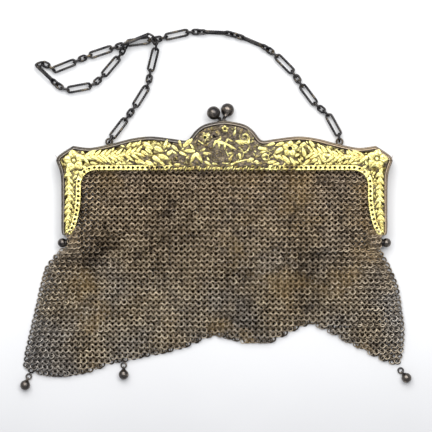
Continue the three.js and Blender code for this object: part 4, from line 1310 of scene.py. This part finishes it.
def rim_and_hinges(node, slot, low, high, rim_level, is_front, metal):
    """The wall of one half with its rolled rim and hinge knuckles."""
    plate(f"{node}_wall", [strip(OUTER, RIM_WALL)], low, high, metal, node, slot, 0.08)
    heap = Heap()
    beads = [(0.48, 0.50, rim_level + 0.05, 0.35)]
    if is_front:
        beads += [(1.22, 0.40, rim_level + 0.22, 0.85), (1.80, 0.30, FACE - 0.18, 0.0)]
    else:
        beads += [(0.85, 0.55, rim_level, 0.5)]
    for depth, radius, level, tone in beads:
        run = rim_run(depth)
        path = np.concatenate([run, np.full((len(run), 1), level)], 1)
        heap.add(*tube(path, radius, 10), tone=tone)
    for side in (-1, 1):
        knuckle(heap, side, 1 if is_front else 0, is_front)
        if not is_front:
            middle_y = wall_height(LUG_ACROSS) + LUG_SIZE / 2 - LUG_WIRE * 0.6
            eye = flat_circle((side * LUG_ACROSS, middle_y, LUG_LEVEL), (LUG_SIZE - LUG_WIRE) / 2, 24)
            heap.add(*tube(eye, LUG_WIRE / 2 * 1.1, 10, closed=True), tone=0.15)
    heap.piece(f"{node}_rim", metal, node, slot)


def frame_halves(metals):
    low = PARTING + PARTING_GAP / 2
    front, back = ("frame_front", "gilt_frame"), ("frame_back", "worn_frame")
    plate("frame_front_plate", [FRAME_LOOP] + hole_loops() + piercing_loops(), FACE - PLATE, FACE,
          metals["ground"], *front)
    plate("frame_front_strip", [strip(INNER, BAND_STRIP)] + hole_loops(), FACE - 0.1, FACE + 0.14,
          metals["strip"], *front, 0.05)
    rim_and_hinges(*front, low, FACE - PLATE / 2, FACE - 0.28, True, metals["rim"])
    plate("frame_back_plate", [FRAME_LOOP], 0.0, PLATE, metals["back"], *back, 0.12)
    rim_and_hinges(*back, PLATE / 2, PARTING - PARTING_GAP / 2, 0.72, False, metals["back"])


# Hinge pins, clasp and drops

def hinge_pin(name, side, metal):
    heap = Heap()
    start = side * (FIRST_KNUCKLE + 0.1)
    neck = side * (FIRST_KNUCKLE + 2 * (KNUCKLE_LENGTH + CLEARANCE))
    shaft = np.linspace(start, neck + side * 0.4, 5)
    path = np.stack([shaft, np.full(5, HINGE_Y), np.full(5, PARTING)], 1)
    heap.add(*tube(path, 0.8, 12), tone=0.3)
    head = ball_profile(PIN_HEAD, 14)
    place = (neck + side * PIN_HEAD / 2, HINGE_Y, PARTING)
    heap.add(*lathe(head, 28, place, (side, 0, 0)), tone=0.4)
    collar = [(0, 0.9), (0, 1.75), (0.35, 1.95), (0.7, 1.8)]
    heap.add(*lathe(collar, 24, (neck - side * 0.05, HINGE_Y, PARTING), (side, 0, 0)), tone=0.2)
    heap.piece(name, metal, name, "dark_fittings")


def clasp(name, foot_x, foot_z, middle, lift, bow, metal):
    """A ball on a bent stalk that comes out through the top of the dome."""
    heap = Heap()
    middle = np.array(middle)
    heap.add(*lathe(ball_profile(CLASP_BALL, 18, 0.05), 36, middle, (0.5, 1, 0.2)), tone=0.4)
    arrive = middle + np.array([0, -CLASP_BALL * 0.2, lift])
    neck = np.array([foot_x, DOME_TOP + 1.0, foot_z])
    foot = np.array([foot_x, DOME_TOP - RIM_WALL - 1.0, foot_z])
    halfway = (neck + arrive) / 2 + np.array([0, 0, bow])
    heap.add(*tube(spline([foot, neck, halfway, arrive], 8), CLASP_WIRE / 2, 12), tone=0.5)
    out = unit(arrive - middle)
    peen = [(-0.1, 0.95), (0.12, 1.0), (0.3, 0.85), (0.3, 0.5), (0.18, 0.3), (0.18, 0.01)]
    heap.add(*lathe(peen, 18, middle + out * CLASP_BALL * 0.47, out), tone=0.8)
    collar = [(-0.2, 1.4), (0.25, 1.4), (0.5, 1.1), (0.5, 0.7)]
    heap.add(*lathe(collar, 18, (foot_x, wall_height(abs(foot_x)) - 0.1, foot_z), (0, 1, 0)),
             tone=0.5)
    heap.piece(name, metal, name, "dark_fittings")


def aimed(place, degrees, distance):
    return place + distance * np.append(pointing(degrees), 0)


def ball_drop(name, along, ring_way, ball_way, metal):
    left, right = DRAPE_ROWS[-1, 1], DRAPE_ROWS[-1, 2]
    x = -left + along * (left + right)
    hem = np.array([x, MOUTH_Y - hem_at(along) * BAG_LENGTH, 0.0])
    ring_at = aimed(hem, ring_way, DROP_RING / 2 + CLEARANCE)
    ball_at = aimed(ring_at, ball_way, DROP_RING / 2 + DROP_NECK / 2 + DROP_BALL / 2 - 0.2)
    ring_at[2] = DROP_WIRE
    ball_at[2] = DROP_BALL / 2 + 0.05
    heap = Heap()
    turn = turns(24)
    ring = flat_circle(ring_at, (DROP_RING - DROP_WIRE) / 2, 24)
    heap.add(*tube(ring, DROP_WIRE / 2, 8, closed=True), tone=0.5)
    towards = unit(ring_at - ball_at)
    axis = np.cross(towards, (0, 0, 1))
    link_at = ring_at - towards * (DROP_RING / 2 - 0.2)
    link = link_at + 0.75 * (np.cos(turn)[:, None] * towards + np.sin(turn)[:, None]
                             * np.cross(axis, towards))
    link[:, 2] += 0.35
    heap.add(*tube(link, 0.26, 8, closed=True), tone=0.5)
    heap.add(*lathe(ball_profile(DROP_BALL, 16, 0.05), 32, ball_at, towards), tone=0.4)
    cap = [(-0.3, 1.35), (0.05, 1.4), (0.25, 1.0), (0.75, 0.72), (1.0, 0.75), (1.1, 0.5),
           (1.1, 0.01)]
    heap.add(*lathe(cap, 18, ball_at + towards * (DROP_BALL / 2 - 0.3), towards), tone=0.6)
    heap.piece(name, metal, name, "dark_fittings")


# The chain

def centripetal(points, count):
    """Evenly spaced points on the same smooth line as the CAD's chain."""
    points = [np.array(p, float) for p in points]
    points = [2 * points[0] - points[1]] + points + [2 * points[-1] - points[-2]]
    fine = []
    for p0, p1, p2, p3 in zip(points, points[1:], points[2:], points[3:]):
        d0, d1, d2 = (max(np.linalg.norm(b - a) ** 0.5, 1e-4)
                      for a, b in ((p0, p1), (p1, p2), (p2, p3)))
        t1 = ((p1 - p0) / d0 - (p2 - p0) / (d0 + d1) + (p2 - p1) / d1) * d1
        t2 = ((p2 - p1) / d1 - (p3 - p1) / (d1 + d2) + (p3 - p2) / d2) * d1
        t = np.linspace(0, 1, 60, endpoint=False)[:, None]
        fine.append(p1 + t1 * t + (-3 * p1 + 3 * p2 - 2 * t1 - t2) * t ** 2
                    + (2 * p1 - 2 * p2 + t1 + t2) * t ** 3)
    fine = np.concatenate(fine + [points[-2][None]])
    reach = measured(fine)
    return path_at(fine, reach, np.linspace(0, reach[-1], count + 1))


def walk(line, spans):
    """Steps along the line by straight spans: the joints, and the length left over."""
    joints = [line[0]]
    k = 0
    for span in spans:
        start = joints[-1]
        while k < len(line) - 1 and np.linalg.norm(line[k] - start) < span:
            k += 1
        joints.append(start + unit(line[k] - start) * span)
    left = np.linalg.norm(joints[-1] - line[-1]) if k < len(line) - 1 else -1
    return np.array(joints), left


LINK_KINDS = ["small"] + (["long"] + ["small"] * SMALL_BETWEEN) * (LONG_LINKS - 1) + ["long", "small"]


def link_spans(long_link, bites):
    return [(long_link if kind == "long" else SMALL_LINK) - 2 * CHAIN_WIRE
            + (bites[i] + bites[i + 1]) / 2 for i, kind in enumerate(LINK_KINDS)]


def fitted_long_link(line, bites):
    low, high = SMALL_LINK, SMALL_LINK * 5
    for _ in range(24):
        middle = (low + high) / 2
        if walk(line, link_spans(middle, bites))[1] > CHAIN_WIRE / 2:
            low = middle
        else:
            high = middle
    return low


def chain_layout():
    """The long link's length and the joints between the links."""
    lug_y = wall_height(LUG_ACROSS) + LUG_SIZE / 2 - LUG_WIRE * 0.6
    ends = [(side * LUG_ACROSS, lug_y, LUG_LEVEL) for side in (-1, 1)]
    line = centripetal([ends[0]] + ROUTE + [ends[1]], 1500)
    bites = [-WELD_GAP] * (len(LINK_KINDS) + 1)
    joints, _ = walk(line, link_spans(fitted_long_link(line, bites), bites))
    ways = unit(np.diff(joints, axis=0))
    bends = [0] + [math.degrees(math.acos(min(1, float(np.dot(a, b)))))
                   for a, b in zip(ways, ways[1:])] + [0]
    bites = [LINK_BITE if bend > WELD_BEND else -WELD_GAP for bend in bends]
    long_link = fitted_long_link(line, bites)
    joints, _ = walk(line, link_spans(long_link, bites))
    return long_link, joints


def link_path(length, width, samples):
    """The middle line of a link: two straights and two round ends."""
    radius = (width - CHAIN_WIRE) / 2
    shift = (length - width) / 2
    turn = np.linspace(-math.pi / 2, math.pi / 2, samples)
    right = np.stack([shift + radius * np.cos(turn), radius * np.sin(turn)], 1)
    straight = np.linspace(shift, -shift, max(int(samples * shift / radius * 0.8), 2) + 1)[1:-1]
    top = np.stack([straight, np.full_like(straight, radius)], 1)
    half = np.concatenate([right, top])
    return np.insert(np.concatenate([half, -half]), 2, 0, axis=1)


def chain(metal):
    long_link, joints = chain_layout()
    long_at = [i for i, kind in enumerate(LINK_KINDS) if kind == "long"]
    heaps = {"long": Heap(), "small": Heap()}
    for i, kind in enumerate(LINK_KINDS):
        lean = sum(max(0, 1 - abs(i - long_at[n - 1]) / SMALL_BETWEEN) for n in ON_EDGE)
        upright = 90 if (i - long_at[0]) % 2 else 0
        turn = math.radians(upright + min(lean, 1) * EDGE_LEAN)
        along = unit(joints[i + 1] - joints[i])
        across = unit(np.cross((0, 0, 1), along))
        up = np.cross(along, across)
        side = math.cos(turn) * across + math.sin(turn) * up
        middle = (joints[i] + joints[i + 1]) / 2
        if kind == "long":
            path = link_path(long_link, LONG_LINK_WIDTH, 22)
            points, faces = tube(path, CHAIN_WIRE / 2 * 1.34, 10, closed=True, twist=22)
        else:
            path = link_path(SMALL_LINK, LINK_WIDTH, 9)
            points, faces = tube(path, CHAIN_WIRE / 2 * rng.uniform(1.08, 1.2), 9, closed=True)
        normal = np.cross(along, side)
        placed = (middle + points[:, :1] * along + points[:, 1:2] * side
                  + points[:, 2:] * normal)
        heaps[kind].add(placed, faces, float(rng.uniform(0.2, 0.8)))
    for kind, heap in heaps.items():
        heap.piece(f"chain_{kind}_links", metal, "handle_chain", "chain_metal")


# Floor, light and camera

def studio():
    bpy.ops.mesh.primitive_plane_add(size=1.6, location=(STAGE_X, STAGE_Y, -0.0001))
    floor = bpy.context.object
    floor.name = "floor"
    floor.data.materials.append(floor_surface())

    world = bpy.data.worlds.new("studio")
    bpy.context.scene.world = world
    world.use_nodes = True
    background = world.node_tree.nodes["Background"]
    background.inputs[0].default_value = (0.93, 0.95, 1.0, 1)
    background.inputs[1].default_value = 0.5

    lamps = [
        # name, place, size, power
        ("overhead", (-0.15, 0.6, 1.2), 1.3, 22),
        ("fill", (0.5, 0.3, 1.2), 0.5, 4),
    ]
    for name, place, wide, power in lamps:
        light = bpy.data.lights.new(name, "AREA")
        light.shape = "SQUARE"
        light.size = wide
        light.energy = power
        lamp = bpy.data.objects.new(name, light)
        lamp.location = place
        target = np.array([STAGE_X, STAGE_Y, 0.0])
        way = target - np.array(place)
        lamp.rotation_euler = (
            math.acos(-way[2] / np.linalg.norm(way)), 0, math.atan2(way[1], way[0]) - math.pi / 2,
        )
        bpy.context.collection.objects.link(lamp)


def camera():
    """Straight above, far enough that the raised frame isn't enlarged."""
    view_width = PICTURE_WIDTH * PIXEL * MM
    lens = bpy.data.cameras.new("photo_camera")
    lens.sensor_width = 36.0
    lens.lens = 36.0 * CAMERA_HEIGHT / view_width
    lens.clip_start = 0.01
    lens.clip_end = 10
    eye = bpy.data.objects.new("photo_camera", lens)
    eye.location = (VIEW_X * MM, VIEW_Y * MM, PARTING * MM + CAMERA_HEIGHT)
    bpy.context.collection.objects.link(eye)
    bpy.context.scene.camera = eye
    bpy.context.scene.view_settings.view_transform = "Standard"


def main():
    camera()
    studio()
    metals = {
        "ground": ground_metal(),
        "gilt": gilt_metal("gilt_leaf", 0.18, 0.88),
        "strip": gilt_metal("gilt_strip", 0.0, 0.40),
        "sewing": gilt_metal("gilt_rings", 0.55),
        "rim": rim_metal("rim_metal"),
        "back": rim_metal("back_metal"),
        "rings": ring_metal(),
        "chain": dark_metal("chain_metal", (0.012, 0.012, 0.015), (0.07, 0.066, 0.064),
                            (0.26, 0.20, 0.12), 0.30),
        "balls": dark_metal("fitting_metal", (0.035, 0.034, 0.038), (0.16, 0.14, 0.12),
                            (0.42, 0.34, 0.26), 0.29),
    }
    frame_halves(metals)
    frame_ornament(metals["gilt"])
    woven_wall("mesh_front", True, 12, 5, 3, metals["rings"])
    woven_wall("mesh_back", False, 8, 4, 2, metals["rings"])
    hinge_rings(metals["rings"])
    sewing_rings(metals["sewing"])
    for side, name in ((-1, "hinge_pin_left"), (1, "hinge_pin_right")):
        hinge_pin(name, side, metals["balls"])
    clasp("clasp_ball_front", -0.2, PARTING * 1.39,
          (1.5, DOME_TOP + CLASP_RISE, CLASP_BALL / 2 + 0.2), CLASP_BALL * 0.42, 0.7,
          metals["balls"])
    clasp("clasp_ball_back", -2.2, PARTING * 0.6,
          (-5.3, DOME_TOP + CLASP_RISE * 0.72, FRAME_DEPTH - CLASP_BALL / 2 - 0.2),
          -CLASP_BALL * 0.2, 0.0, metals["balls"])
    for drop in DROPS:
        ball_drop(*drop, metals["balls"])
    chain(metals["chain"])


main()
